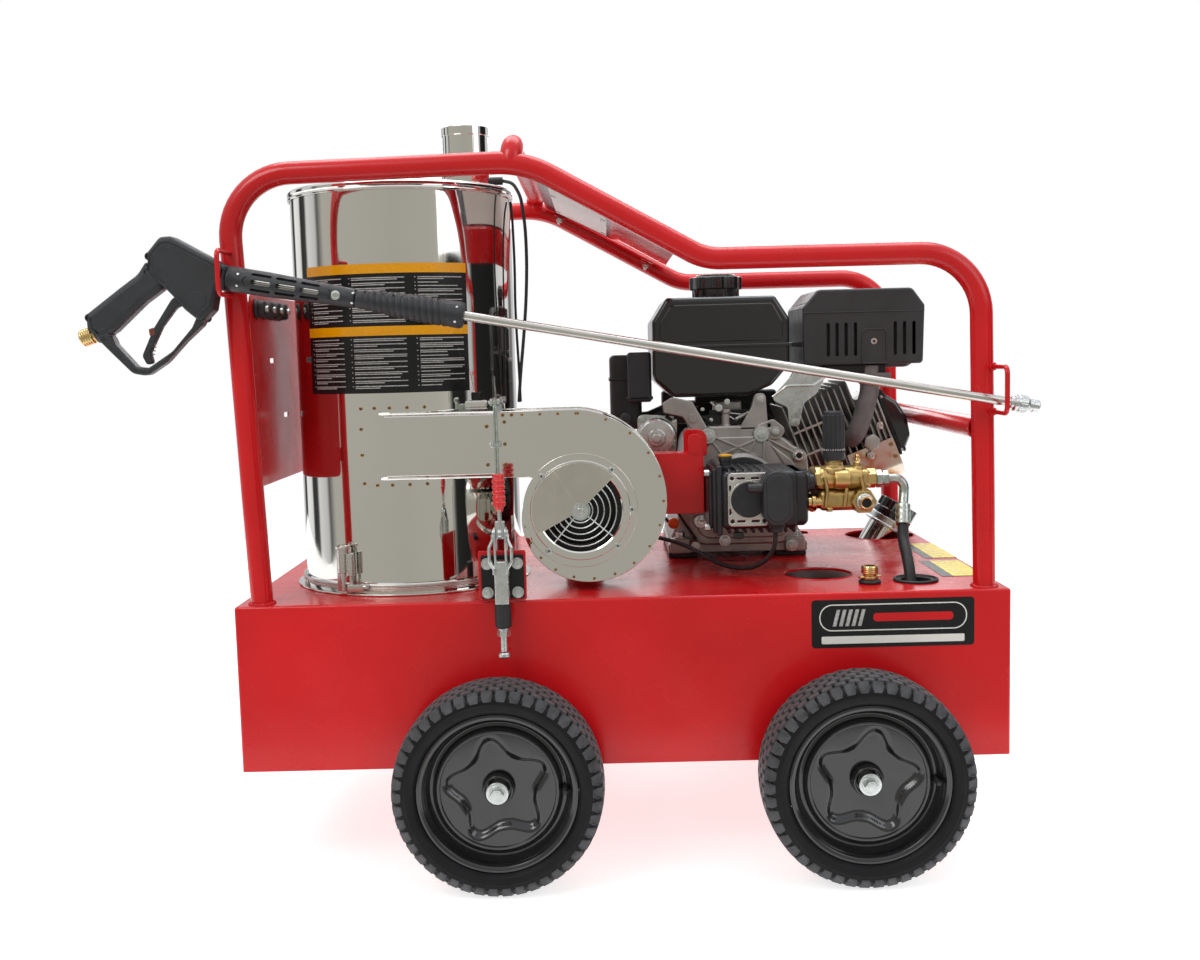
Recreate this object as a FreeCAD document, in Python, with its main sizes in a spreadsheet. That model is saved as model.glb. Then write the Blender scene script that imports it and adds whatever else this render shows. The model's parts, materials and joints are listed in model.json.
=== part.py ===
import FreeCAD, Part
import math
import os
import re
import sys
import Sketcher
from FreeCAD import Placement, Rotation, Vector

# Engine-driven hot-water pressure washer on a welded four-wheeled base.
# Every sub-part is drawn in the base's own frame (millimetres): x runs along the base from
# its middle, y runs back from the front face of the base, z runs up from the deck plate.
# The document's frame stands the machine on the floor, centred under its bounding box.

DIMS = {
    # placing of the base's frame in the document
    "base_x": 77.485,
    "deck_height": 396.7,
    # base of folded sheet
    "base_long": 1110,
    "base_wide": 654.5,
    "base_high": 242.5,
    "sheet": 3,
    "pan_drop": 227,
    "deck_hole_r": 52,
    "deck_hole_x": 305,
    "deck_hole_y": 155,
    "hose_hole_x": 438,
    "hose_hole_y": 80,
    "hose_hole_r": 27,
    "recess_x": 484,
    "recess_y": 549,
    "recess_r": 62,
    "filler_x": 490,
    "filler_y": 556,
    "filler_lean": 31,
    # bent tube cage
    "tube_r": 15.875,
    "front_cage_y": 24,
    "rear_cage_y": 630.5,
    "cage_bend": 88,
    "peak_bend": 150,
    "left_foot_x": -520,
    "left_top_x": -540.4,
    "top_rail_end": 608,
    "peak_x": -122,
    "peak_height": 617,
    "dip_x": 129,
    "low_rail": 476.5,
    "right_top_x": 516.3,
    "right_foot_x": 523,
    "cross_tube_height": 228,
    "arch_x": -137,
    "arch_height": 642,
    # wheels
    "rear_axle_x": -178,
    "front_axle_x": 333,
    "axle_drop": 249,
    "axle_r": 12.5,
    "wheel_bore_r": 12.56,
    "tyre_r": 147.75,
    "tyre_wide": 94,
    "rim_r": 110,
    "wheel_gap": 16,
    "end_inset": 14.7,
    # drum that holds the heating coil
    "drum_x": -328,
    "drum_y": 235,
    "drum_r": 170,
    "drum_high": 598,
    "drum_skin": 1.5,
    "stack_x": -230,
    "stack_y": 295,
    "stack_r": 37,
    "stack_top": 712,
    "coil_r": 128,
    "coil_tube_r": 10.5,
    # burner blower
    "blower_x": -57,
    "blower_height": 120,
    "blower_face": 58,
    "blower_deep": 102,
    "inlet_r": 61,
    "scroll_small": 75,
    "scroll_big": 146,
    "duct_low": 172,
    "blower_skin": 1.5,
    # engine
    "crank_x": 206,
    "crank_height": 115,
    "engine_front": 330,
    "engine_back": 600,
    "bore_tilt": 21,
    "fin_count": 9,
    # pump
    "pump_front": 142,
    "pump_axis": 118,
    "manifold_y": 172,
    # gun and lance, drawn along the lance from where it leaves the gun
    "lance_x": -534.8,
    "lance_y": -18,
    "lance_height": 464.1,
    "lance_tilt": 10.41,
    "lance_tube_r": 6.5,
    "loop_wire_r": 3.5,
    # parking brake
    "brake_x": -168,
    "lever_pivot_height": 101,
    "lever_pivot_y": -30,
}

doc = FreeCAD.newDocument("PressureWasher")
sheet = doc.addObject("Spreadsheet::Sheet", "Dims")
for row, (name, number) in enumerate(DIMS.items(), start=1):
    sheet.set("A%d" % row, name)
    sheet.set("B%d" % row, str(number))
    sheet.setAlias("B%d" % row, name)
doc.recompute()

NODES = []
NAMES = re.compile(r"[a-z]+(?:_[a-z]+)+|sheet")
AXES = {"X": Vector(1, 0, 0), "Y": Vector(0, 1, 0), "Z": Vector(0, 0, 1)}
# turns that bring a cylinder's own axis, +Z, onto a named direction
ALONG = {
    "+X": Rotation(AXES["Y"], 90),
    "-X": Rotation(AXES["Y"], -90),
    "+Y": Rotation(AXES["X"], -90),
    "-Y": Rotation(AXES["X"], 90),
    "+Z": Rotation(),
    "-Z": Rotation(AXES["X"], 180),
}
# turns that bring a sketch's plane onto a named one; the pad then grows the way it says
FACING = {
    "XZ-": Rotation(AXES["X"], 90),
    "YZ+": Rotation(Vector(1, 1, 1), 120),
    "XY+": Rotation(),
}


# ---------------------------------------------------------------- drawing helpers

def cell(size):
    """A size as an expression: a number, or text that names cells of the sheet."""
    return NAMES.sub(lambda found: "Dims." + found.group(0), str(size))


def number(size):
    """The value of a size as it stands in the sheet."""
    if isinstance(size, (int, float)):
        return float(size)
    holder = doc.getObject("Scratch") or doc.addObject("Part::Box", "Scratch")
    holder.setExpression("Placement.Base.x", cell(size))
    holder.recompute()
    return holder.Placement.Base.x


def bind(thing, **sizes):
    for prop, size in sizes.items():
        thing.setExpression(prop, cell(size))
    return thing


def put(thing, at, turn=None):
    """Places a piece at a point whose three coordinates are sizes."""
    if turn is not None:
        thing.Placement = Placement(Vector(), turn)
    for letter, size in zip("xyz", at):
        thing.setExpression("Placement.Base." + letter, cell(size))
    return thing


def box(long, wide, high, at, turn=None):
    thing = bind(doc.addObject("Part::Box", "Block"), Length=long, Width=wide, Height=high)
    return put(thing, at, turn)


def rod(radius, long, at, along="+Z"):
    thing = bind(doc.addObject("Part::Cylinder", "Rod"), Radius=radius, Height=long)
    return put(thing, at, ALONG[along] if isinstance(along, str) else along)


def ring(radius, wire, at, along="+Z"):
    thing = bind(doc.addObject("Part::Torus", "Ring"), Radius1=radius, Radius2=wire)
    return put(thing, at, ALONG[along] if isinstance(along, str) else along)


def hexagon(across_flats, high, at, along="+Z"):
    thing = doc.addObject("Part::Prism", "Hex")
    thing.Polygon = 6
    bind(thing, Circumradius="(%s) / 1.7320508" % across_flats, Height=high)
    return put(thing, at, ALONG[along] if isinstance(along, str) else along)


def cut(base, tools):
    thing = doc.addObject("Part::Cut", "Cut")
    thing.Base = base
    thing.Tool = tools[0] if len(tools) == 1 else fuse(tools)
    return thing


def fuse(pieces):
    thing = doc.addObject("Part::MultiFuse", "Fusion")
    thing.Shapes = pieces
    return thing


def group(pieces):
    thing = doc.addObject("Part::Compound", "Group")
    thing.Links = pieces
    return thing


def pipe_of(outer, inner, long, at, along="+Z"):
    return cut(rod(outer, long, at, along), [rod(inner, long, at, along)])


def outline(sketch, corners, closed=True):
    """Draws a polygon whose corners are (across, up) or (across, up, rounding radius)."""
    spots = [Vector(number(c[0]), number(c[1]), 0) for c in corners]
    count = len(spots)
    sides = count if closed else count - 1
    for i in range(sides):
        sketch.addGeometry(Part.LineSegment(spots[i], spots[(i + 1) % count]), False)
    for i in range(sides if closed else sides - 1):
        sketch.addConstraint(Sketcher.Constraint("Coincident", i, 2, (i + 1) % count, 1))
    for i, corner in enumerate(corners):
        line, end = (i, 1) if i < sides else (i - 1, 2)
        places = (("DistanceX", spots[i].x, corner[0]), ("DistanceY", spots[i].y, corner[1]))
        for kind, value, size in places:
            where = sketch.addConstraint(Sketcher.Constraint(kind, -1, 1, line, end, value))
            if isinstance(size, str):
                sketch.setExpression("Constraints[%d]" % where, cell(size))
    for i, corner in enumerate(corners):
        if len(corner) < 3:
            continue
        before, after = (i - 1) % count, i % count
        radius = number(corner[2])
        near = [spots[i] + (other - spots[i]) * 0.1 for other in (spots[before], spots[(i + 1) % count])]
        sketch.fillet(before, after, near[0], near[1], radius, True, True)
        arcs = [k for k, line in enumerate(sketch.Geometry) if isinstance(line, Part.ArcOfCircle)]
        arc = max(arcs)
        where = sketch.addConstraint(Sketcher.Constraint("Radius", arc, radius))
        if isinstance(corner[2], str):
            sketch.setExpression("Constraints[%d]" % where, cell(corner[2]))
    return sketch


def around(count, radius):
    """Points evenly spaced on a circle about the origin."""
    turns = [2 * math.pi * i / count for i in range(count)]
    return [(radius * math.cos(turn), radius * math.sin(turn)) for turn in turns]


def sketch_in(body, corners):
    plane = [f for f in body.Origin.OriginFeatures if f.Role == "XY_Plane"][0]
    sketch = body.newObject("Sketcher::SketchObject", "Profile")
    sketch.AttachmentSupport = [(plane, "")]
    sketch.MapMode = "FlatFace"
    return outline(sketch, corners)


def plate(corners, thick, at=(0, 0, 0), facing="XZ-", edge=0, bevel=0):
    """A padded outline. XZ- grows towards -Y, YZ+ towards +X and XY+ towards +Z."""
    body = doc.addObject("PartDesign::Body", "Plate")
    pad = body.newObject("PartDesign::Pad", "Thickness")
    pad.Profile = sketch_in(body, corners)
    bind(pad, Length=thick)
    for kind, size in (("Fillet", edge), ("Chamfer", bevel)):
        if size:
            doc.recompute()
            softened = body.newObject("PartDesign::" + kind, "Edges")
            softened.Base = (pad, [])
            softened.UseAllEdges = True
            bind(softened, **{"Radius" if kind == "Fillet" else "Size": size})
    return put(body, at, FACING[facing] if isinstance(facing, str) else facing)


def block(long, wide, high, at, edge):
    """A box with all edges rounded; at is its low corner."""
    corners = [(0, 0), (long, 0), (long, wide), (0, wide)]
    return plate(corners, high, at, "XY+", edge=edge)


def turned(corners, at=(0, 0, 0), along="+Z"):
    """A turned piece: corners are (radius, distance along its axis)."""
    body = doc.addObject("PartDesign::Body", "Turned")
    sketch = sketch_in(body, corners)
    spin = body.newObject("PartDesign::Revolution", "Turn")
    spin.Profile = sketch
    spin.ReferenceAxis = (sketch, ["V_Axis"])
    spin.Angle = 360
    # the sketch's own up direction is the axis of the piece
    turn = (ALONG[along] if isinstance(along, str) else along) * Rotation(AXES["X"], 90)
    return put(body, at, turn)


def bent_path(points, radii):
    """Straight runs joined by tangent arcs, one radius for each inner point."""
    spots = [Vector(*p) for p in points]
    edges = []
    start = spots[0]
    for i in range(1, len(spots) - 1):
        into = (spots[i] - spots[i - 1]).normalize()
        out = (spots[i + 1] - spots[i]).normalize()
        turn = into.getAngle(out)
        back = radii[i - 1] * math.tan(turn / 2)
        first = spots[i] - into * back
        last = spots[i] + out * back
        inward = (out - into).normalize()
        middle = spots[i] + inward * (radii[i - 1] / math.cos(turn / 2) - radii[i - 1])
        if (first - start).Length > 1e-6:
            edges.append(Part.LineSegment(start, first).toShape())
        edges.append(Part.Arc(first, middle, last).toShape())
        start = last
    edges.append(Part.LineSegment(start, spots[-1]).toShape())
    return Part.Wire(edges)


def swept(points, radius, radii):
    """A round bar or hose along a bent path, as a piece of the document."""
    path = bent_path(points, radii)
    facing = path.Edges[0].tangentAt(path.Edges[0].FirstParameter)
    section = Part.Wire(Part.makeCircle(radius, Vector(*points[0]), facing))
    thing = doc.addObject("Part::Feature", "Bar")
    thing.Shape = path.makePipeShell([section], True, False)
    ideal = math.pi * radius * radius * path.Length
    if abs(thing.Shape.Volume / ideal - 1) > 0.01:
        print("swept volume is off:", thing.Shape.Volume, ideal)
    return thing


def cord_radii(points):
    """The largest bends that a limp cord's route allows: 0.45 of the shorter run at each point."""
    spots = [Vector(*p) for p in points]
    radii = []
    for before, here, after in zip(spots, spots[1:], spots[2:]):
        turn = (here - before).getAngle(after - here)
        shorter = min((here - before).Length, (after - here).Length)
        radii.append(0.45 * shorter / math.tan(turn / 2))
    return radii


def node(label, pieces):
    """Closes a sub-part: its label names its file, its placement carries the base's frame."""
    whole = group(pieces)
    whole.Label = label
    put(whole, ("base_x", "-base_wide / 2", "deck_height"))
    NODES.append(whole)
    return whole


def bolt(x, y, z, along="-Y", flats=13, washer_r=11, head=6):
    """A hexagon head on a washer, standing on a face."""
    step = {"-Y": (0, -1, 0), "+Y": (0, 1, 0), "+Z": (0, 0, 1), "-X": (-1, 0, 0), "+X": (1, 0, 0)}[along]
    washer = 2
    top = ["(%s) + %s" % (place, washer * s) for place, s in zip((x, y, z), step)]
    return fuse([rod(washer_r, washer, (x, y, z), along), hexagon(flats, head, top, along)])


# ---------------------------------------------------------------- the base

def deck_plate():
    outer = plate([("-base_long / 2", 0, 5), ("base_long / 2", 0, 5), ("base_long / 2", "base_wide", 5),
                   ("-base_long / 2", "base_wide", 5)], "sheet", (0, 0, "-sheet"), "XY+")
    through = 40
    holes = [
        rod("deck_hole_r", through, ("deck_hole_x", "deck_hole_y", -through / 2)),
        rod("hose_hole_r", through, ("hose_hole_x", "hose_hole_y", -through / 2)),
        rod("recess_r", through, ("recess_x", "recess_y", -through / 2)),
        box(26, 40, through, (336, 585, -through / 2)),
    ]
    node("deck_plate", [cut(outer, holes)])


def base_panels():
    low = "-base_high"
    high = "base_high - sheet"
    inner = "base_wide - 2 * sheet"
    # half-round notches let the two axles pass under the side panels
    axles = [rod("axle_r + 0.5", "base_wide + 20", (x, -10, "-axle_drop"), "+Y")
             for x in ("rear_axle_x", "front_axle_x")]
    front = cut(box("base_long", "sheet", high, ("-base_long / 2", 0, low)), axles)
    axles_too = [rod("axle_r + 0.5", "base_wide + 20", (x, -10, "-axle_drop"), "+Y")
                 for x in ("rear_axle_x", "front_axle_x")]
    back = cut(box("base_long", "sheet", high, ("-base_long / 2", "base_wide - sheet", low)), axles_too)
    left = box("sheet", inner, high, ("-base_long / 2", "sheet", low))
    right = box("sheet", inner, high, ("base_long / 2 - sheet", "sheet", low))
    pan = box("base_long - 2 * sheet", inner, "sheet", ("-base_long / 2 + sheet", "sheet", "-pan_drop"))
    node("base_panels", [front, back, left, right, pan])


def axles():
    ears = []
    for x in ("rear_axle_x", "front_axle_x"):
        ears.append(rod("axle_r", "base_wide + 2 * (wheel_gap + tyre_wide) - 2 * end_inset",
                        (x, "end_inset - wheel_gap - tyre_wide", "-axle_drop"), "+Y"))
        for y in ("0.7 - wheel_gap - 7", "base_wide + 0.3"):
            ears.append(rod(17, "wheel_gap + 6", (x, y, "-axle_drop"), "+Y"))
        for y in ("sheet + 0.5", "base_wide - sheet - 8.5"):
            ears.append(box(70, 8, 26, ("(%s) - 35" % x, y, "-axle_drop - 6")))
    half = len(ears) // 2
    node("axles", [fuse(ears[:half]), fuse(ears[half:])])


# ---------------------------------------------------------------- the cage

def cage_side(y):
    path = doc.addObject("Sketcher::SketchObject", "CageLine")
    path.Placement = Placement(Vector(), FACING["XZ-"])
    outline(path, [
        ("left_foot_x", 0),
        ("left_top_x", "top_rail_end", "cage_bend"),
        ("peak_x", "peak_height", "peak_bend"),
        ("dip_x", "low_rail", "cage_bend"),
        ("right_top_x", "low_rail", "cage_bend"),
        ("right_foot_x", 0),
    ], closed=False)
    section = doc.addObject("Part::Circle", "TubeSection")
    bind(section, Radius="tube_r")
    lean = math.degrees(math.atan2(number("left_top_x - left_foot_x"), number("top_rail_end")))
    put(section, ("left_foot_x", 0, 0), Rotation(AXES["Y"], lean))
    doc.recompute()
    tube = doc.addObject("Part::Sweep", "CageTube")
    tube.Sections = [section]
    tube.Spine = (path, [])
    tube.Solid = True
    tube.Frenet = False
    # the leaning feet are sawn off level with the deck plate
    below = box("base_long + 100", 80, 40, ("-base_long / 2 - 50", -40, -40))
    return put(cut(tube, [below]), (0, y, 0))


def cage():
    node("front_cage_frame", [cage_side("front_cage_y")])
    rear = cage_side("rear_cage_y")
    saddle = "tube_r + 0.2"
    span = "rear_cage_y - front_cage_y - 2 * (%s)" % saddle
    low_tie = rod("tube_r", span, (518.5, "front_cage_y + %s" % saddle, "cross_tube_height"), "+Y")
    foot_x, foot_height = DIMS["arch_x"] - 4, DIMS["peak_height"] - 1
    front, back = DIMS["front_cage_y"], DIMS["rear_cage_y"]
    arch_line = [(foot_x, front, foot_height), (DIMS["arch_x"], front + 2, DIMS["arch_height"]),
                 (DIMS["arch_x"], back - 2, DIMS["arch_height"]), (foot_x, back, foot_height)]
    arch = swept(arch_line, DIMS["tube_r"], [22, 22])
    rails = [rod("tube_r + 0.8", 120, (-210, y, 616), "+X") for y in ("front_cage_y", "rear_cage_y")]
    node("rear_cage_frame", [rear, low_tie, cut(arch, rails)])


def post_space(foot_x, top_x, top):
    """The room that a leaning front post takes, a little wider than the tube."""
    lean = math.degrees(math.atan2(number(top_x) - number(foot_x), number(top)))
    return rod("tube_r + 0.2", 560, (foot_x, "front_cage_y", 0), Rotation(AXES["Y"], lean))


def lance_hooks():
    wire = DIMS["loop_wire_r"]
    bend = 10
    loops = []
    for x, low, top in ((-536, 441, 500), (531, 251.5, 315)):
        post = DIMS["front_cage_y"] - DIMS["tube_r"] + 1
        line = [(x, post, top), (x, -52, top), (x, -52, low), (x, post, low)]
        loops.append(swept(line, wire, [bend, bend]))
    tabs = [box(14, 10, 8, (519, 6, 311)), box(14, 10, 8, (519, 6, 247.5))]
    left_post = post_space("left_foot_x", "left_top_x", "top_rail_end")
    right_post = post_space("right_foot_x", "right_top_x", "low_rail")
    node("lance_hooks", [cut(loops[0], [left_post]), cut(fuse([loops[1]] + tabs), [right_post])])


def nozzle_panel():
    corners = [(45, 166, 12), (608, 166, 12), (608, 446, 12), (45, 446, 12)]
    panel = plate(corners, 2, (-523, 0, 0), "YZ+")
    holes = [rod(9.2, 20, (-532, y, 424), "+X") for y in (70, 112, 154, 196)]
    slots = [box(20, 26, 7, (-532, y, z)) for y, z in ((140, 346), (208, 261))]
    node("nozzle_panel", [cut(panel, holes + slots)])
    nozzles = []
    for y in (70, 112, 154, 196):
        grommet = turned([(5.2, -5), (13, -5), (13, -0.2), (9, -0.2), (9, 2.2), (13, 2.2), (13, 6),
                          (5.2, 6)], (-521, y, 424), "-X")
        nozzle = turned([(0, -12), (5, -12), (5, 8), (8, 8), (8, 18), (5.5, 20), (5.5, 34), (0, 34)],
                        (-521, y, 424), "-X")
        nozzles += [grommet, nozzle]
    node("spray_nozzles", nozzles)


def console_panel():
    # one bent sheet between the two sloping rails, a little above their middle
    thick = 2.5
    line = [Vector(x, z, 0) for x, z in ((-117, 621.5), (2, 561.5), (15, 560), (103, 510.5))]
    back = []
    for i, spot in enumerate(line):
        around = (line[min(i + 1, len(line) - 1)] - line[max(i - 1, 0)]).normalize()
        back.insert(0, spot + Vector(around.y, -around.x, 0) * thick)
    width = "rear_cage_y - front_cage_y - 2 * tube_r - 2"
    corners = [(spot.x, spot.y) for spot in line + back]
    node("console_panel", [plate(corners, width, (0, "rear_cage_y - tube_r - 1", 0))])


# ---------------------------------------------------------------- wheels

def tyre_profile():
    half = "tyre_wide / 2"
    return [
        ("rim_r + 2.3", "-%s + 20" % half), ("rim_r + 2.3", "-%s + 8" % half), (118, "-%s + 3" % half, 4),
        (128, "-%s" % half, 8), ("tyre_r - 9", "-%s + 3" % half, 9), ("tyre_r - 1", "-%s + 16" % half, 12),
        ("tyre_r", 0, 90), ("tyre_r - 1", "%s - 16" % half, 12), ("tyre_r - 9", "%s - 3" % half, 9),
        (128, half, 8), (118, "%s - 3" % half, 4), ("rim_r + 2.3", "%s - 8" % half),
        ("rim_r + 2.3", "%s - 20" % half),
    ]


def rim_profile():
    # hub, dished disc, well and the two flanges; the disc stands near the outer flange
    return [
        ("wheel_bore_r", -32), (22, -32), (22, -16), (60, -19), (88, -14), (95, -20), ("rim_r - 6", -20),
        ("rim_r - 4", -36), ("rim_r + 2", -38), ("rim_r + 2", -34), ("rim_r - 1", -33), ("rim_r - 1", 33),
        ("rim_r + 2", 34), ("rim_r + 2", 38), ("rim_r - 4", 36),
        ("rim_r - 6", -16), (94, -16), (87, -11), (60, -16), (22, -13), (22, 40), ("wheel_bore_r", 40),
    ]


def wheels():
    for side, y, turn in (("front", "-wheel_gap - tyre_wide / 2", "+Y"),
                          ("back", "base_wide + wheel_gap + tyre_wide / 2", "-Y")):
        for end, x in (("left", "rear_axle_x"), ("right", "front_axle_x")):
            at = (x, y, "-axle_drop")
            node("%s_%s_tyre" % (side, end), [turned(tyre_profile(), at, turn)])
            node("%s_%s_rim" % (side, end), [turned(rim_profile(), at, turn)])


# ---------------------------------------------------------------- drum and coil

def drum():
    centre = ("drum_x", "drum_y")
    shell = pipe_of("drum_r", "drum_r - drum_skin", "drum_high - 4", centre + (4,))
    # the blower's duct enters the drum at a tangent
    mouth_cut = doc.addObject("Part::Common", "Mouth")
    mouth_cut.Base = box(90, 150, 92, (-300, 60, "duct_low + 2"))
    mouth_cut.Tool = rod("drum_r + 1", 200, centre + (120,))
    base_ring = turned([("drum_r - 12", 0.3), ("drum_r + 14", 0.3), ("drum_r + 14", 3),
                        ("drum_r + 2", 4), ("drum_r + 2", 16), ("drum_r", 16), ("drum_r", 4),
                        ("drum_r - 12", 3.5)], centre + (0,))
    node("drum_shell", [cut(shell, [mouth_cut]), base_ring])

    lid = turned([(0, 621), (60, 620), (120, 615), ("drum_r - 6", 603), ("drum_r + 4", 602, 3),
                  ("drum_r + 4", 590), ("drum_r + 0.4", 590), ("drum_r + 0.4", 599), ("drum_r - 8", 599),
                  (118, 612), (60, 617), (0, 618)], centre + (0,))
    stack_at = ("stack_x", "stack_y")
    opening = rod("stack_r - 1.5", 60, stack_at + (590,))
    stack = turned([("stack_r - 1.5", 600), ("stack_r + 8", 600), ("stack_r + 8", 612), ("stack_r", 622),
                    ("stack_r", 694), ("stack_r + 1.5", 698), ("stack_r + 1.5", "stack_top"),
                    ("stack_r - 1.5", "stack_top")], stack_at + (0,))
    clear = rod("stack_r - 1.5", 140, stack_at + (580,))
    node("drum_lid", [cut(fuse([cut(lid, [opening]), stack]), [clear])])

    turns = 11
    pitch = 26
    first = 285
    rings = [ring("coil_r", "coil_tube_r", centre + (first + pitch * i,)) for i in range(turns)]
    posts = [box(4, 26, pitch * turns + 4, ("drum_x - 2", "drum_y + %s" % y, first - 14))
             for y in (-141, 115)]
    node("heating_coil", [fuse(rings + posts)])


# ---------------------------------------------------------------- burner blower

def scroll_wire(shrink, duct_end, y):
    """The blower's outline: a spiral that opens from the cut-off round to the top of the duct."""
    cx, cz = DIMS["blower_x"], DIMS["blower_height"]
    small, big = DIMS["scroll_small"] - shrink, DIMS["scroll_big"] - shrink
    first, last, steps = 142, 450, 11
    spots = []
    for i in range(steps + 1):
        angle = first + (last - first) * i / steps
        radius = small + (big - small) * (angle - first) / (last - first)
        spots.append(Vector(cx + radius * math.cos(math.radians(angle)), y,
                            cz + radius * math.sin(math.radians(angle))))
    curve = Part.BSplineCurve()
    curve.interpolate(Points=spots, InitialTangent=Vector(-0.55, 0, -0.84), FinalTangent=Vector(-1, 0, 0))
    low = Vector(duct_end, y, DIMS["duct_low"] + shrink)
    corner = Vector(spots[0].x, y, low.z)
    high = Vector(duct_end, y, spots[-1].z)
    edges = [curve.toShape(), Part.LineSegment(spots[-1], high).toShape(),
             Part.LineSegment(high, low).toShape(), Part.LineSegment(low, corner).toShape()]
    if (corner - spots[0]).Length > 1e-6:
        edges.append(Part.LineSegment(corner, spots[0]).toShape())
    return Part.Wire(edges)


def blower():
    cx, cz = "blower_x", "blower_height"
    face, deep, skin = DIMS["blower_face"], DIMS["blower_deep"], DIMS["blower_skin"]
    outer = Part.Face(scroll_wire(0, -332, face)).extrude(Vector(0, deep, 0))
    hollow = Part.Face(scroll_wire(skin, -340, face + skin)).extrude(Vector(0, deep - 2 * skin, 0))
    casing = doc.addObject("Part::Feature", "ScrollCasing")
    casing.Shape = outer.cut(hollow)
    drum_space = rod("drum_r + 0.3", 200, ("drum_x", "drum_y", 120))
    inlet = rod("inlet_r", 10, (cx, face - 4, cz), "+Y")
    shaft_hole = rod(14, 20, (cx, face + deep - 10, cz), "+Y")
    flange = cut(box(9, "blower_deep + 14", 108, (-176, face - 7, "duct_low - 7")),
                 [box(20, "blower_deep - 0.2", 94, (-182, face + 0.1, "duct_low + 1"))])
    node("blower_housing", [cut(fuse([casing, flange]), [drum_space, inlet, shaft_hole])])

    wire = 1.3
    pitch = 7.6
    front = face - 3.4
    band = cut(rod(79, 1.6, (cx, face - 1.7, cz), "+Y"), [rod("inlet_r - 2", 10, (cx, face - 5, cz), "+Y")])
    rings = [ring(12 + pitch * i, wire, (cx, front, cz), "+Y") for i in range(7)]
    spokes = []
    for lean in (20, 110):
        low_x = DIMS["blower_x"] - 64 * math.sin(math.radians(lean))
        low_z = DIMS["blower_height"] - 64 * math.cos(math.radians(lean))
        spokes.append(rod(wire, 128, (low_x, front + 0.6, low_z), Rotation(AXES["Y"], lean)))
    hub = rod(8, 3.4, (cx, front - 1.4, cz), "+Y")
    node("blower_guard", [fuse([band, hub] + rings + spokes)])

    blades = []
    count = 24
    for i in range(count):
        angle = 360 / count * i
        blade = box(13, 44, 1.4,
                    (54 * math.cos(math.radians(angle)), 0, 54 * math.sin(math.radians(angle))),
                    Rotation(AXES["Y"], -angle - 25))
        blades.append(blade)
    hub_hole = rod(6.05, 60, (0, -5, 0), "+Y")
    back_disc = fuse([rod(70, 2, (0, 42, 0), "+Y"), rod(16, 26, (0, 24, 0), "+Y")])
    front_ring = cut(rod(70, 2, (0, 0, 0), "+Y"), [rod(53, 10, (0, -4, 0), "+Y")])
    wheel = cut(fuse([back_disc, front_ring] + blades), [hub_hole])
    node("blower_wheel", [put(wheel, (cx, face + 22, cz))])

    motor = turned([(0, 0), (6, 0), (6, 24), (12, 24), (12, 40.3), (44, 40.3, 4), (46, 52), (46, 130),
                    (38, 140, 4), (0, 140)], (cx, face + 62, cz), "+Y")
    node("blower_motor", [motor])

    arm_y = face + 62 + 140.3
    arm = plate([(-110, 86, 8), (138, 86, 8), (138, 186, 8), (-110, 186, 8)], 4, (0, arm_y + 4, 0))
    tab = plate([(108, 180, 6), (146, 180, 6), (146, 222, 14), (108, 222, 6)], 4, (0, arm_y + 4, 0))
    stand_off = rod(9, 330 - arm_y - 4.4, (124, arm_y + 4, 205), "+Y")
    lower = rod(9, 330 - arm_y - 4.4, (124, arm_y + 4, 100), "+Y")
    strut = box(60, 4, 92, (-87, arm_y, 0.3))
    foot = box(60, 40, 4, (-87, arm_y, 0.3))
    saddle = cut(box(40, 30, 52, (-77, 130 + face, 24)), [rod(46.2, 40, (cx, 120 + face, cz), "+Y")])
    saddle_leg = box(40, 30, 25, (-77, 130 + face, 0.3))
    node("blower_bracket", [fuse([arm, tab, stand_off, lower, strut, foot]), fuse([saddle, saddle_leg])])


def air_shutter():
    points = [(0, 0)]
    first, last, steps = 62, 205, 8
    for i in range(steps + 1):
        angle = math.radians(first + (last - first) * i / steps)
        points.append((74 * math.cos(angle), 74 * math.sin(angle)))
    leaf = plate(points, 1.2, (0, 0, 0))
    hub = rod(9, 1.2, (0, -1.2, 0), "+Y")
    pin_head = rod(6, 3, (0, -4.2, 0), "+Y")
    screw = rod(4, 2, (-46, -3.2, 46), "+Y")
    at = ("blower_x", "blower_face - 5.2", "blower_height")
    node("air_shutter", [put(fuse([leaf, hub, pin_head, screw]), at)])


# ---------------------------------------------------------------- engine

def tilted(piece, distance):
    """Moves a piece drawn about the origin to a distance out along the cylinder's bore."""
    angle = DIMS["bore_tilt"]
    far = ("crank_x + %s * cos(bore_tilt * 1 deg)" % distance, "engine_front + 120",
           "crank_height + %s * sin(bore_tilt * 1 deg)" % distance)
    return put(piece, far, Rotation(AXES["Y"], -angle))


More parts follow.
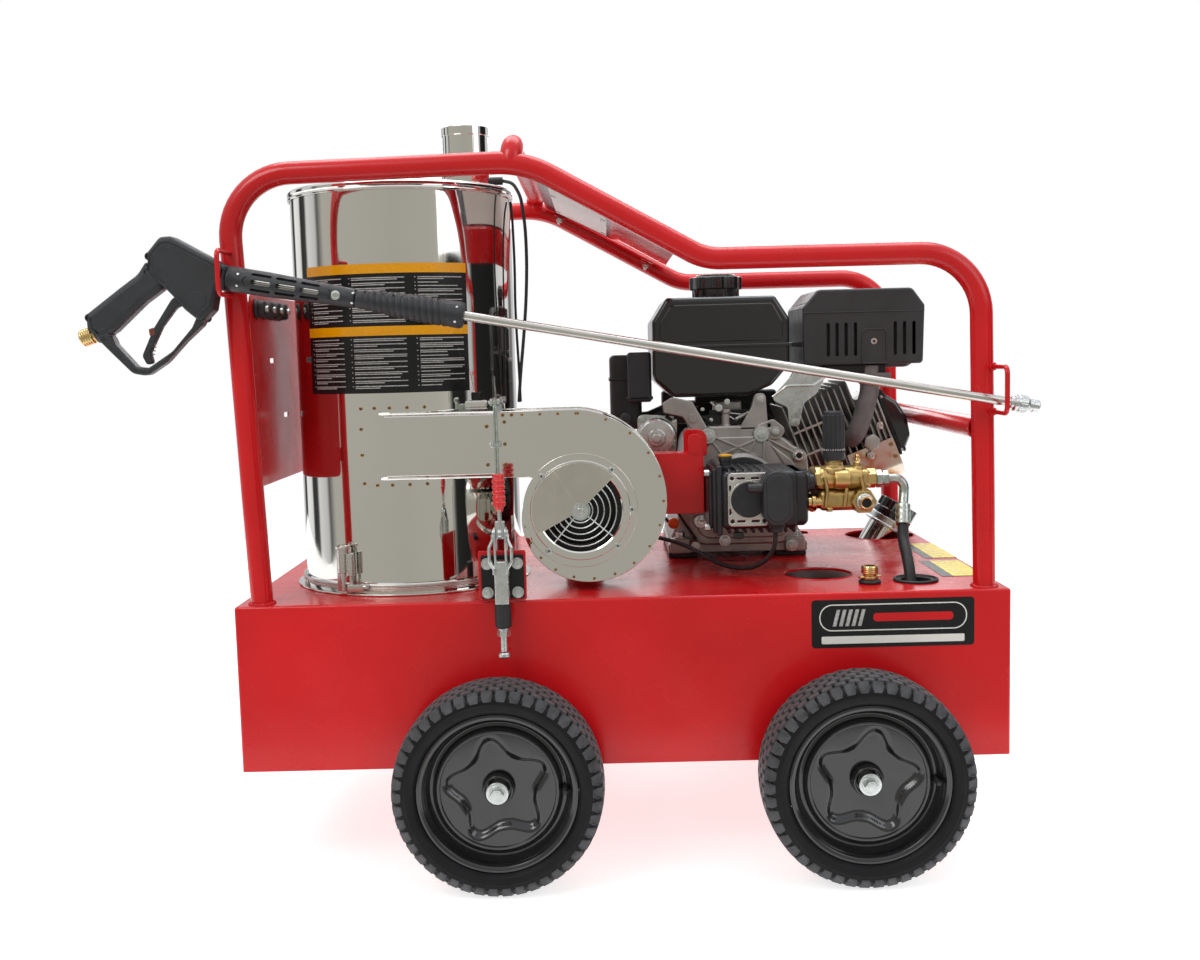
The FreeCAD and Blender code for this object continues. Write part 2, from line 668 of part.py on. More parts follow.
def engine():
    sump = plate([(86, 8, 6), (316, 8, 6), (312, 34, 8), (296, 62, 20), (300, 200, 30), (120, 215, 30),
                  (100, 62, 20), (88, 34, 8)], 215, (0, 560, 0))
    # a boss runs back to the flywheel
    back_boss = rod(96, 3.7, ("crank_x", 558, "crank_height + 8"), "+Y")
    node("crankcase", [fuse([sump, back_boss])])

    cover_outline = [(122, 22, 30), (290, 22, 30), (324, 110, 34), (318, 176, 14), (296, 186, 10),
                     (256, 216, 16), (236, 222, 14), (150, 222, 16), (132, 200, 20), (108, 120, 40)]
    cover = plate(cover_outline, 15, (0, "engine_front + 15", 0))
    nose = rod(66, 42, ("crank_x", "engine_front - 40", "crank_height"), "+Y")
    bosses = [rod(11, 8, (x, "engine_front - 8", z), "+Y")
              for x, z in ((153, 206), (241, 207), (303, 170), (138, 64), (275, 60))]
    left_arm = plate([(78, 262), (96, 268), (128, 262, 6), (158, 200), (140, 196), (112, 240, 6),
                      (80, 246)], 12, (0, "engine_front + 15", 0))
    right_arm = plate([(206, 218), (232, 268, 8), (252, 270, 8), (252, 218)], 12,
                      (0, "engine_front + 15", 0))
    node("crankcase_cover", [fuse([cover, nose, left_arm, right_arm] + bosses)])

    pitch = 13.5
    core = rod(52, 136, (-84, 0, 0), "+X")
    fins = [box(3, 170, 160, (-75 + pitch * i, -85, -80)) for i in range(DIMS["fin_count"])]
    head = box(34, 168, 156, (46, -84, -78))
    barrel = fuse([core, head] + fins)
    node("cylinder_block", [tilted(barrel, 196)])

    cap = group([block(36, 146, 112, (0, -73, -53), 10)])
    node("valve_cover", [tilted(cap, 276.3)])

    tank = plate([(64, 300, 26), (64, 398, 10), (88, 436, 12), (268, 436, 12), (292, 396, 10),
                  (292, 320, 20), (262, 288, 24), (220, 271, 20), (96, 271, 24)], 225,
                 (0, "engine_front + 228", 0), edge=6)
    seam = plate([(61, 352), (295, 352), (295, 357), (61, 357)], 231, (0, "engine_front + 231", 0))
    neck = rod(31, 12, (179, 436, 434))
    node("engine_fuel_tank", [fuse([tank, seam, neck])])

    lobes = 8
    cap_r = 45
    grip = rod(cap_r, 22, (0, 0, 15))
    notches = [rod(7, 40, (x, y, 5)) for x, y in around(lobes, cap_r + 3.5)]
    crown = rod(34, 4, (0, 0, 37))
    skirt = rod(40, 17, (0, 0, 0))
    well = rod(31.3, 11.5, (0, 0, -1))
    fuel_cap = cut(fuse([cut(grip, notches), crown, skirt]), [well])
    node("engine_fuel_cap", [put(fuel_cap, (179, 436, 436.4))])

    guard = plate([(314, 318, 6), (512, 318, 6), (515, 414, 6), (494, 443, 12), (338, 443, 12),
                   (313, 414, 6)], 175, (0, "engine_front + 176", 0), edge=5)
    hollow = box(188, 165, 130, (320, "engine_front + 6", 300))
    slots = [box(6, 30, 54, (x, "engine_front - 10", 333)) for x in (352, 366.5, 381.5, 397, 463, 478, 493)]
    recess = box(38, 10, 57, (412, "engine_front - 7", 318))
    shell = cut(guard, [hollow] + slots + [recess])
    node("muffler_guard", [shell])
    can = block(180, 150, 112, (324, "engine_front + 14", 308), 20)
    pipe_line = [(428, 349, 312), (425, 349, 270), (412, 349, 222), (404, 349, 204), (396, 349, 196)]
    pipe = swept(pipe_line, 15.5, [90, 60, 40])
    node("muffler", [fuse([can, pipe])])

    box_back = block(54, 150, 130, (-8, 392, 215), 10)
    box_front = block(40, 40, 84, (22, 352, 264), 8)
    node("air_cleaner", [fuse([box_back, box_front])])

    shroud = turned([(0, 0), (124, 0, 6), (128, 14, 10), (118, 32, 6), (70, 38), (0, 38)],
                    ("crank_x", "engine_back - 38", "crank_height + 18"), "+Y")
    duct_side = block(150, 30, 60, (150, "engine_back - 36", 214), 8)
    outlet = rod(11, 50, (160, "engine_back - 20", 246), "-X")
    node("recoil_housing", [fuse([shroud, duct_side, outlet])])
    node("recoil_handle", [block(22, 22, 60, (87.7, "engine_back - 31", 216), 6)])

    body = turned([(0, 0), (8, 0), (8, 2), (30, 2, 3), (34, 8), (34, 50), (28, 56), (0, 56)],
                  (68, "engine_front + 2", 204), "+Y")
    solenoid = rod(17, 34, (34, "engine_front + 22", 180), "+Y")
    node("starter_motor", [fuse([body, solenoid])])

    shield_sheet = plate([(262, 262, 8), (304, 308, 8), (352, 308, 6), (330, 268, 10), (312, 258),
                          (306, 222), (292, 222), (290, 262, 6)], 2, (0, "engine_front + 6", 0))
    # thin sheet over the lower ends of the cylinder's fins, square to the bore
    apron = group([plate([(-6, -20), (77, -20), (77, -76, 8), (-6, -76, 8)], 1.7, (0, -85.3, 0))])
    node("heat_shield", [shield_sheet, tilted(apron, 196)])


# ---------------------------------------------------------------- pump

def pump():
    body = block(118, 140, 96, (158, "pump_front", "pump_axis - 48"), 8)
    fins = [box(4, 118, 7, (170 + 13 * i, "pump_front + 12", "pump_axis + 46")) for i in range(8)]
    low_fins = [box(4, 118, 6, (170 + 13 * i, "pump_front + 12", "pump_axis - 52")) for i in range(8)]
    flange = rod(58, 8.6, ("crank_x", "pump_front + 139", "crank_height"), "+Y")
    left_cover = block(14, 122, 104, (140, "pump_front + 8", "pump_axis - 52"), 5)
    link = box(20, 110, 84, (150, "pump_front + 14", "pump_axis - 42"))
    filler = rod(9, 24, (168, "pump_front + 46", "pump_axis + 46"))
    plungers = [rod(15, 34, (270, "pump_front + 34 + %s" % y, "pump_axis + 20"), "+X") for y in (0, 36, 72)]
    valves = [rod(9, 34, (270, "pump_front + 34 + %s" % y, "pump_axis - 8"), "+X") for y in (0, 36, 72)]
    node("pump_crankcase",
         [fuse([body, flange, left_cover, link, filler] + fins + low_fins + plungers + valves)])

    square = plate([(166, 80, 8), (228, 80, 8), (228, 160, 8), (166, 160, 8)], 5,
                   (0, "pump_front - 0.4", 0))
    recess = rod(33, 2.4, (198, "pump_front - 7", 120), "+Y")
    disc = rod(27, 3, (198, "pump_front - 7.6", 120), "+Y")
    node("pump_end_cover", [fuse([cut(square, [recess]), disc])])

    # two manifolds of cast brass on the plunger head, with the unloader on top
    upper = rod(18, 92, (304.3, "manifold_y - 2", 146), "+X")
    upper_back = block(84, 92, 34, (304.3, "manifold_y - 18", 128), 8)
    lower = block(74, 88, 30, (304.3, "manifold_y - 14", 98), 8)
    seat = hexagon(34, 12, (334, "manifold_y", 160))
    stem = rod(10, 14, (334, "manifold_y", 170))
    nipple = turned([(0, 0), (6, 0), (6, 12), (3, 14), (3.6, 18), (2.4, 21), (0, 21)],
                    (370, "manifold_y", 160))
    right_end = hexagon(26, 14, (384, "manifold_y - 2", 146), "+X")
    outlet_hex = hexagon(34, 14, (375, "manifold_y - 30", 112), "-Y")
    outlet_root = rod(15, 40, (375, "manifold_y + 4", 112), "-Y")
    outlet = rod(11, 16, (375, "manifold_y - 40", 112), "-Y")
    bore = rod(6.5, 30, (375, "manifold_y - 34", 112), "-Y")
    brass = fuse([upper, upper_back, lower, seat, stem, nipple, right_end, outlet_root, outlet_hex, outlet])
    node("pump_manifold", [cut(brass, [bore])])

    knob_body = turned([(0, 10), (0, 76), (14, 76, 4), (17, 70), (17, 12), (15, 0), (10.3, 0), (10.3, 10)])
    flutes = [rod(1.4, 54, (x, y, 14)) for x, y in around(14, 17.6)]
    node("unloader_knob", [put(cut(knob_body, flutes), (334, "manifold_y", 174.4))])

    oval = plate([(217, 100, 20), (258, 100, 20), (258, 165, 20), (217, 165, 20)], 34,
                 (0, "pump_front - 8.2", 0), edge=3)
    gland = rod(10, 20, (236, "pump_front - 24", 83))
    nut = hexagon(20, 14, (236, "pump_front - 24", 72))
    node("pump_switch_box", [fuse([oval, gland, nut])])


def hose_and_fittings():
    y = DIMS["manifold_y"] - 2
    right = 398.3
    # the elbow turns the hose down and forward
    crimp_foot = Vector(434.8, y - 24, 74.3)
    crimp_way = Vector(0.11, 0.45, 0.886).normalize()
    crimp_turn = Rotation(AXES["Z"], crimp_way)
    hex_nut = hexagon(24, 19, (right, y, 144), "+X")
    elbow = swept([(right + 18, y, 144), (442.5, y, 144), (441.4, y - 2, 121),
                   tuple(crimp_foot + crimp_way * 34)], 7.5, [16, 30])
    crimp = rod(11.5, 34, tuple(crimp_foot), crimp_turn)
    inlet_base = rod(13, 6, (367, 66, 0.3))
    inlet_hex = hexagon(24, 9, (367, 66, 5))
    inlet_top = pipe_of(12, 7, 14, (367, 66, 12))
    node("hose_fittings", [fuse([hex_nut, elbow, crimp]), fuse([inlet_base, inlet_hex, inlet_top])])
    hose_start = crimp_foot - crimp_way * 0.4
    route = [tuple(hose_start), tuple(hose_start - crimp_way * 22), (432.2, 116, 38), (432.1, 95, 17),
             (432, 86, -5), (431.8, 79, -32), (430, 76, -62), (423, 82, -92), (408, 98, -112),
             (384, 128, -118)]
    radii = cord_radii(route)
    print("pressure_hose radii", [round(r) for r in radii])
    node("pressure_hose", [swept(route, 8.5, radii)])


def wiring():
    cable = [(236, 118, 71.6), (235, 120, 48), (222, 130, 26), (203, 152, 12), (178, 180, 8),
             (152, 215, 12), (131, 250, 22), (110, 282, 30), (84, 305, 36), (60, 322, 40)]
    black = [(-166, 205, 615.5), (-150, 196, 611), (-138, 186, 590), (-132, 182, 545), (-131, 180, 490),
             (-134, 180, 430), (-140, 180, 370), (-146, 180, 320), (-150, 180, 276)]
    brown = [(-155.6, 214, 584), (-153.5, 206, 566), (-152, 200, 530), (-151, 196, 480),
             (-152, 194, 430), (-151, 192, 380), (-149, 190, 330), (-148, 190, 276)]
    pieces = []
    leads = (("switch cable", cable, 3.5), ("black lead", black, 2.5), ("brown lead", brown, 2))
    for name, route, radius in leads:
        radii = cord_radii(route)
        print(name, "radii", [round(r) for r in radii])
        pieces.append(swept(route, radius, radii))
    plug = rod(9, 26, (60, 322, 40), "-X")
    sensor = rod(6, 22, (-166, 205, 615.5), "-X")
    node("wiring", [fuse([pieces[0], plug]), fuse([pieces[1], sensor]), pieces[2]])


# ---------------------------------------------------------------- filler, tank, battery, rubber

def filler():
    lean = Rotation(AXES["Y"], DIMS["filler_lean"])
    foot = ("filler_x", "filler_y", 0)
    tube = turned([(31, -60), (33, -60), (33, 34), (31, 34)], foot, lean)
    collar = turned([(33.2, 16), (42, 16), (42, 20), (39, 22), (39, 33), (33.2, 33)], foot, lean)
    node("filler_neck", [tube, collar])
    cap = turned([(0, 32), (30.4, 32), (30.4, 34.4), (37, 34.4), (37, 46, 2), (35.6, 48), (35.6, 66, 3),
                  (0, 66)], (0, 0, 0))
    flutes = [rod(2.4, 20, (x, y, 48.5)) for x, y in around(12, 36.8)]
    node("filler_cap", [put(cut(cap, flutes), foot, lean)])

    tank = block(300, 270, 160, (235, 340, "-pan_drop + sheet + 0.3"), 14)
    hole = turned([(0, -68), (33.4, -68), (33.4, 30), (0, 30)], foot, lean)
    node("diesel_tank", [cut(tank, [hole])])
    case = block(240, 172, 176, (-460, 60, "-pan_drop + sheet + 0.3"), 5)
    posts = [rod(9, 16, (x, 90, "-pan_drop + sheet + 175")) for x in (-425, -255)]
    node("battery", [fuse([case] + posts)])


def rubber_mounts():
    feet = [box(50, 200, 7.7, (x, 352, 0.2)) for x in (84, 266)]
    hose_grommet = turned([(22, -6), ("hose_hole_r - 0.2", -6), ("hose_hole_r - 0.2", 0.2), (33, 0.2),
                           (33, 3), (30, 4), (22, 4)], ("hose_hole_x", "hose_hole_y", 0))
    stopper = rod(10, 30, (-155, 70, 0.3))
    node("rubber_mounts", feet + [hose_grommet, stopper])


# ---------------------------------------------------------------- parking brake

def brake():
    red = plate([(-202, 2, 4), (-136, 2, 4), (-136, 71, 4), (-202, 71, 4)], 3, (0, -0.2, 0))
    black = plate([(-199, 4, 3), (-138, 4, 3), (-138, 66, 3), (-199, 66, 3)], 3, (0, -3.2, 0))
    body = box(20, 20, 62, ("brake_x - 10", -33, 0))
    body_slot = rod(5.1, 80, ("brake_x", -23, -10))
    web = box(12, 8, 40, ("brake_x - 6", -14, 14))
    ear_left = plate([(-34, 55), (-12, 55), (-12, 90, 4), (-22, 110, 7), (-38, 110, 7), (-38, 90)], 3,
                     ("brake_x - 9", 0, 0), "YZ+")
    ear_right = plate([(-34, 55), (-12, 55), (-12, 90, 4), (-22, 110, 7), (-38, 110, 7), (-38, 90)], 3,
                      ("brake_x + 6", 0, 0), "YZ+")
    pin = rod(3.2, 21, ("brake_x - 10.5", "lever_pivot_y", "lever_pivot_height"), "+X")
    base = fuse([cut(fuse([body, web]), [body_slot]), ear_left, ear_right, pin, black])
    node("brake_base", [red, base])

    eye = rod(8, 5.4, (-2.7, 0, 0), "+X")
    bar = box(5, 12, 42, (-2.5, -6, -4))
    grip = turned([(0, 30), (5, 30), (7.5, 36), (6.5, 40), (7.5, 44), (6.5, 48), (7.5, 52), (6.5, 56),
                   (7.5, 60), (6.5, 64), (7.5, 68), (7, 80), (4, 83), (0, 83)], (0, 0, 0))
    pin_hole = rod(3.26, 20, (-10, 0, 0), "+X")
    lever = cut(fuse([eye, bar, grip]), [pin_hole])
    node("brake_lever", [put(lever, ("brake_x", "lever_pivot_y", "lever_pivot_height"))])

    stem = rod(5, 126, ("brake_x", -23, -68))
    sleeve = rod(7.5, 29, ("brake_x", -23, -32))
    nut = hexagon(17, 9, ("brake_x", -23, -46))
    head = turned([(0, -76), (7, -76), (9, -70), (7, -66), (0, -66)], ("brake_x", -23, 0))
    node("brake_plunger", [fuse([stem, sleeve, nut, head])])


# ---------------------------------------------------------------- gun and lance

def along_lance(piece):
    tilt = Rotation(AXES["Y"], DIMS["lance_tilt"])
    return put(piece, ("lance_x", "lance_y", "lance_height"), tilt)


def gun():
    half = 17
    shell = plate([(2, 16), (2, -17), (-7, -18), (-8, -46, 6), (-22, -66, 5), (-42, -95),
                   (-64, -127, 30), (-86, -149, 14), (-106, -149, 14), (-142, -122, 30), (-160, -112),
                   (-176, -100, 5), (-178, -82, 5), (-131, -33, 30), (-106, -8, 12), (-107, 18, 8),
                   (-92, 41, 10), (-78, 44, 10)], 2 * half, (0, half, 0), edge=3)
    # finger opening inside the trigger guard
    window = plate([(-77, -28, 6), (-46, -42, 6), (-30, -54, 8), (-34, -74), (-58, -111, 20),
                    (-86, -138, 8), (-102, -139, 8), (-134, -113, 14), (-138, -94, 8)], 60, (0, 30, 0))
    guard_trim = []
    for y in (-40, 11):
        guard_trim.append(plate([(-30, -62), (-20, -74), (-80, -160), (-112, -160), (-175, -118),
                                 (-160, -108), (-150, -100), (-134, -90), (-100, -120), (-60, -95)], 29,
                                (0, y + 29, 0)))
    trigger_slot = plate([(-84, -30), (-36, 6), (-14, -20), (-20, -60), (-60, -70)], 13, (0, 6.5, 0))
    trigger_pin = rod(3, 20, (-34, -10, -32), "+Y")
    inlet = turned([(0, 0), (11, 0), (11, 6), (12, 6), (12, 18), (10, 21), (0, 21)], (-168, 0, -104),
                   Rotation(AXES["Y"], -118))
    body = cut(shell, [window, trigger_slot] + guard_trim)
    node("gun_body", [along_lance(fuse([body, trigger_pin, inlet]))])

    lever = plate([(-34, -24, 6), (-26, -32, 6), (-34, -43, 6), (-60, -50, 14), (-76, -78), (-88, -118),
                   (-82, -132, 4), (-92, -134, 4), (-99, -124, 6), (-88, -84), (-68, -38, 14)], 12,
                  (0, 6, 0))
    hole = rod(3.06, 30, (-34, -15, -32), "+Y")
    latch = box(7, 8, 10, (-90, -4, -92), Rotation(AXES["Y"], 25))
    node("gun_trigger", [along_lance(cut(fuse([lever, latch]), [hole]))])

    sleeve = turned([(6.6, 2.4), (17, 2.4), (17, 60), (12.8, 182), (12.4, 184), (14, 196),
                     (18.4, 315, 3), (18.4, 320), (16, 326), (16, 332), (6.6, 332)], (0, 0, 0), "+X")
    windows = []
    for turn in (0, 90, 180, 270):
        slot = box(30, 6, 40, (88, -3, 0), Rotation(AXES["X"], turn))
        windows.append(slot)
        windows.append(box(24, 6, 40, (134, -3, 0), Rotation(AXES["X"], turn)))
    node("lance_grip", [along_lance(cut(sleeve, windows))])

    tube = rod("lance_tube_r", 1102, (2.4, 0, 0), "+X")
    collar = turned([(0, 1100), (9, 1100), (11.5, 1104), (11.5, 1122), (9.5, 1125), (8, 1125),
                     (8, 1139), (0, 1139)], (0, 0, 0), "+X")
    bore = rod(4.2, 30, (1120, 0, 0), "+X")
    node("lance_tube", [along_lance(cut(fuse([tube, collar]), [bore]))])


# ---------------------------------------------------------------- fasteners

def fasteners():
    heads = []
    outer = "end_inset - wheel_gap - tyre_wide"
    back = "base_wide + wheel_gap + tyre_wide - end_inset"
    for x in ("rear_axle_x", "front_axle_x"):
        for y, along in ((outer, "-Y"), (back, "+Y")):
            heads.append(bolt(x, y, "-axle_drop", along, 19, 16, 8))
    for x, z in ((153, 206), (241, 207), (138, 64), (275, 60)):
        heads.append(bolt(x, "engine_front - 8", z, "-Y", 12, 10.5, 6))
    for x, z in ((-190, 13.5), (-147, 13.5), (-190, 55), (-147, 55)):
        heads.append(bolt(x, -6.2, z, "-Y", 10, 7, 5))
    for x in (104, 286):
        heads.append(rod(7, 8, (x, 336, 0.3)))
    # screws along the edge of the blower's front plate
    count = 12
    for i in range(count):
        turn = 200 + 240 * i / (count - 1)
        radius = DIMS["scroll_small"] - 6 + (DIMS["scroll_big"] - DIMS["scroll_small"]) * (turn - 142) / 308
        angle = math.radians(turn)
        spot = ("blower_x + %s" % (radius * math.cos(angle)), "blower_face - 1.4",
                "blower_height + %s" % (radius * math.sin(angle)))
        heads.append(rod(2.6, 1.3, spot, "+Y"))
    # latch that closes the drum's base band
    latch = fuse([box(16, 5, 50, (-420, 76, 14)), rod(3.5, 56, (-403, 73, 11)),
                  box(26, 3, 14, (-424, 75, 32))])
    latch_clear = cut(latch, [rod("drum_r + 2.4", 100, ("drum_x", "drum_y", 0))])
    heads.append(latch_clear)
    node("fasteners", heads)


deck_plate()
base_panels()
axles()
cage()
lance_hooks()
nozzle_panel()
console_panel()
wheels()
drum()
blower()
air_shutter()
engine()
pump()
hose_and_fittings()
wiring()
filler()
rubber_mounts()
brake()
gun()
fasteners()

if doc.getObject("Scratch"):
    doc.removeObject("Scratch")
doc.recompute()

faults = []
for thing in doc.Objects:
    if "Invalid" in thing.State or "Error" in thing.State:
        faults.append(thing.Label + " " + str(thing.State))
for thing in NODES:
    if thing.Shape.isNull() or not thing.Shape.isValid() or not thing.Shape.Solids:
        faults.append(thing.Label + " has no valid solid")
if faults:
    print("FAULTS", faults)
    sys.exit(1)

os.makedirs("parts", exist_ok=True)
whole = FreeCAD.BoundBox()
for thing in NODES:
    thing.Shape.exportStep("parts/%s.step" % thing.Label)
    whole.add(thing.Shape.BoundBox)
print(len(NODES), "nodes")
print("x %.3f %.3f  y %.3f %.3f  z %.3f %.3f" % (whole.XMin, whole.XMax, whole.YMin, whole.YMax,
                                                 whole.ZMin, whole.ZMax))
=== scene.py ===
import json
import math
import random

import bmesh
import bpy
from mathutils import Matrix, Vector


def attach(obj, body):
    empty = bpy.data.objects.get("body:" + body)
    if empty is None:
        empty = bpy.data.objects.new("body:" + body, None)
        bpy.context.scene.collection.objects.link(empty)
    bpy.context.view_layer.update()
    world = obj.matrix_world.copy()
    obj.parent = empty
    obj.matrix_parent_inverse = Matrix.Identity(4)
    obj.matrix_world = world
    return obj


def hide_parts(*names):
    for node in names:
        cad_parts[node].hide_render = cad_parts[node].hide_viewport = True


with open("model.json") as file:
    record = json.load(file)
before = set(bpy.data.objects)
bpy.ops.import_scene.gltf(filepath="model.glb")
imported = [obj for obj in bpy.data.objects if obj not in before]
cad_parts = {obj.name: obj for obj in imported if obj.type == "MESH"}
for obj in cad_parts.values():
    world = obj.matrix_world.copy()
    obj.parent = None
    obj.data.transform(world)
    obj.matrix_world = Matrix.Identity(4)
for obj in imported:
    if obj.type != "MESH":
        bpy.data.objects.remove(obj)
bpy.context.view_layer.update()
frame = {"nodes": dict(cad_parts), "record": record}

# Lengths below are millimetres in the base's own frame: x from the base's middle, y back from
# its front face, z up from the deck. TO_ROW carries them into the row frame, in metres.
TO_ROW = Matrix.Translation((0.077485, -0.32725, 0.3967)) @ Matrix.Scale(0.001, 4)
LANCE = Matrix.Translation((-534.8, -18, 464.1)) @ Matrix.Rotation(math.radians(10.41), 4, "Y")
UPRIGHT = Matrix.Rotation(math.pi / 2, 4, "X")
SIDEWAYS = Matrix.Rotation(math.radians(120), 4, Vector((1, 1, 1)))
ALONG = {"+X": Matrix.Rotation(math.pi / 2, 4, "Y"), "-X": Matrix.Rotation(-math.pi / 2, 4, "Y"),
        "+Y": Matrix.Rotation(-math.pi / 2, 4, "X"), "-Y": Matrix.Rotation(math.pi / 2, 4, "X"),
        "+Z": Matrix.Identity(4), "-Z": Matrix.Rotation(math.pi, 4, "X")}


def at(x, y, z, turn="+Z"):
    """The place of a part; turn names the way its own Z points."""
    return Matrix.Translation((x, y, z)) @ (ALONG[turn] if isinstance(turn, str) else turn)


def spun(degrees, axis):
    """A turn about one axis."""
    return Matrix.Rotation(math.radians(degrees), 4, axis)


# ---------------------------------------------------------------- materials

def material(name, colour, rough, metallic=0.0, coat=0.0, spread=0.12, blotch=14.0, rough_spread=0.08,
        grain=0.0, grain_size=900.0, wave=0.0, brushed=None, sheen=0.0, specular=0.5):
    """A finish with uneven colour and gloss: grain is fine bump, wave slow bump, brushed draws streaks."""
    made = bpy.data.materials.new(name)
    made.use_nodes = True
    made.diffuse_color = (*colour, 1)
    tree = made.node_tree
    shader = tree.nodes["Principled BSDF"]
    shader.inputs["Metallic"].default_value = metallic
    shader.inputs["Coat Weight"].default_value = coat
    shader.inputs["Coat Roughness"].default_value = 0.08
    shader.inputs["Sheen Weight"].default_value = sheen
    shader.inputs["Specular IOR Level"].default_value = specular
    where = tree.nodes.new("ShaderNodeTexCoord").outputs["Object"]

    def noise(scale, detail=3.0, stretch=None):
        made_noise = tree.nodes.new("ShaderNodeTexNoise")
        made_noise.inputs["Scale"].default_value = scale
        made_noise.inputs["Detail"].default_value = detail
        source = where
        if stretch:
            bend = tree.nodes.new("ShaderNodeMapping")
            bend.inputs["Scale"].default_value = stretch
            tree.links.new(where, bend.inputs["Vector"])
            source = bend.outputs["Vector"]
        tree.links.new(source, made_noise.inputs["Vector"])
        return made_noise.outputs["Fac"]

    patches = noise(blotch, 6.0)
    ramp = tree.nodes.new("ShaderNodeValToRGB")
    ramp.color_ramp.elements[0].position = 0.3
    ramp.color_ramp.elements[1].position = 0.7
    ramp.color_ramp.elements[0].color = (*[c * (1 - spread) for c in colour], 1)
    ramp.color_ramp.elements[1].color = (*[min(1, c * (1 + spread)) for c in colour], 1)
    tree.links.new(patches, ramp.inputs["Fac"])
    tree.links.new(ramp.outputs["Color"], shader.inputs["Base Color"])
    gloss = tree.nodes.new("ShaderNodeMapRange")
    gloss.inputs["From Min"].default_value = 0.3
    gloss.inputs["From Max"].default_value = 0.7
    gloss.inputs["To Min"].default_value = max(0.0, rough - rough_spread)
    gloss.inputs["To Max"].default_value = rough + rough_spread
    tree.links.new(noise(blotch * 2.7, 5.0) if not brushed else noise(60.0, 4.0, brushed),
            gloss.inputs["Value"])
    tree.links.new(gloss.outputs["Result"], shader.inputs["Roughness"])
    normal = None
    for size, strength, distance in ((7.0, wave, 0.004), (grain_size, grain, 0.0006)):
        if not strength:
            continue
        bump = tree.nodes.new("ShaderNodeBump")
        bump.inputs["Strength"].default_value = strength
        bump.inputs["Distance"].default_value = distance
        tree.links.new(noise(size, 2.0), bump.inputs["Height"])
        if normal:
            tree.links.new(normal, bump.inputs["Normal"])
        normal = bump.outputs["Normal"]
    if normal:
        tree.links.new(normal, shader.inputs["Normal"])
    return made


RED = material("red_powder_coat", (0.58, 0.007, 0.010), 0.24, coat=0.15, spread=0.10, blotch=5, grain=0.10,
        grain_size=420, specular=0.35)
BLACK_PAINT = material("satin_black_paint", (0.012, 0.012, 0.013), 0.34, spread=0.2, grain=0.15,
        grain_size=700, specular=0.3)
ENAMEL = material("gloss_black_enamel", (0.010, 0.010, 0.011), 0.16, coat=0.5, spread=0.25, blotch=9,
        rough_spread=0.06, grain=0.05)
GRILLE_BLACK = material("matt_black_enamel", (0.022, 0.022, 0.024), 0.42, spread=0.2, grain=0.4,
        grain_size=1400)
MIRROR = material("mirror_stainless", (0.74, 0.73, 0.69), 0.055, metallic=1, spread=0.03, blotch=3,
        rough_spread=0.03, wave=0.17, brushed=(1, 1, 0.02))
SATIN_STEEL = material("brushed_stainless", (0.60, 0.585, 0.55), 0.26, metallic=1, spread=0.08,
        brushed=(0.03, 1, 1))
ZINC = material("bright_zinc", (0.60, 0.63, 0.62), 0.30, metallic=1, spread=0.12, blotch=60, grain=0.12,
        grain_size=1500)
GALVANISED = material("passivated_zinc", (0.50, 0.56, 0.52), 0.34, metallic=1, spread=0.2, blotch=90,
        grain=0.1)
CAST = material("cast_aluminium", (0.40, 0.385, 0.365), 0.46, metallic=0.85, spread=0.16, blotch=24,
        grain=0.5, grain_size=1100)
MACHINED = material("machined_aluminium", (0.62, 0.61, 0.58), 0.28, metallic=1, spread=0.1, blotch=40,
        grain=0.2)
RUSTY_CAST = material("heat_greyed_casting", (0.155, 0.135, 0.14), 0.62, metallic=0.4, spread=0.2,
        blotch=50, grain=0.9, grain_size=800)
BRASS = material("cast_brass", (0.56, 0.40, 0.16), 0.36, metallic=1, spread=0.18, blotch=45, grain=0.35,
        grain_size=700)
BRASS_TURNED = material("turned_brass", (0.66, 0.47, 0.20), 0.24, metallic=1, spread=0.1, blotch=70)
RUST_SCREW = material("tarnished_screw", (0.33, 0.19, 0.07), 0.38, metallic=0.9, spread=0.3, blotch=400)
PLASTIC = material("grained_black_plastic", (0.020, 0.022, 0.026), 0.43, spread=0.15, blotch=30, grain=0.55,
        grain_size=1900)
GLOSS_PLASTIC = material("gloss_black_tank", (0.012, 0.012, 0.013), 0.17, coat=0.3, spread=0.2, blotch=8,
        rough_spread=0.05, grain=0.10, grain_size=500)
PUMP_BLACK = material("pump_black_coating", (0.018, 0.020, 0.024), 0.36, spread=0.2, blotch=40, grain=0.35,
        grain_size=900)
RUBBER = material("black_rubber", (0.014, 0.014, 0.015), 0.55, spread=0.2, blotch=60, grain=0.3,
        grain_size=1300)
TREAD = material("tyre_tread_rubber", (0.040, 0.041, 0.045), 0.58, spread=0.5, blotch=70, rough_spread=0.1,
        grain=0.5, grain_size=1000, sheen=0.15)
SIDEWALL = material("tyre_sidewall_rubber", (0.006, 0.006, 0.007), 0.46, spread=0.25, blotch=30, grain=0.2,
        grain_size=1200, specular=0.2)
RED_GRIP = material("red_vinyl_grip", (0.66, 0.010, 0.012), 0.22, coat=0.5, spread=0.08, blotch=60,
        grain=0.05)
BROWN = material("brown_latch_plastic", (0.16, 0.035, 0.022), 0.42, spread=0.2, blotch=150, grain=0.2)
ORANGE_PLASTIC = material("orange_plastic", (0.80, 0.13, 0.01), 0.38, spread=0.1, blotch=120, grain=0.2)
YELLOW_PLASTIC = material("yellow_plug_plastic", (0.82, 0.42, 0.02), 0.38, spread=0.1, blotch=120,
        grain=0.2)
VINYL_BLACK = material("black_vinyl_sticker", (0.010, 0.010, 0.011), 0.26, spread=0.12, blotch=12,
        grain=0.06, specular=0.3)
VINYL_ORANGE = material("orange_vinyl_sticker", (0.78, 0.33, 0.0), 0.26, spread=0.06, blotch=20, grain=0.04)
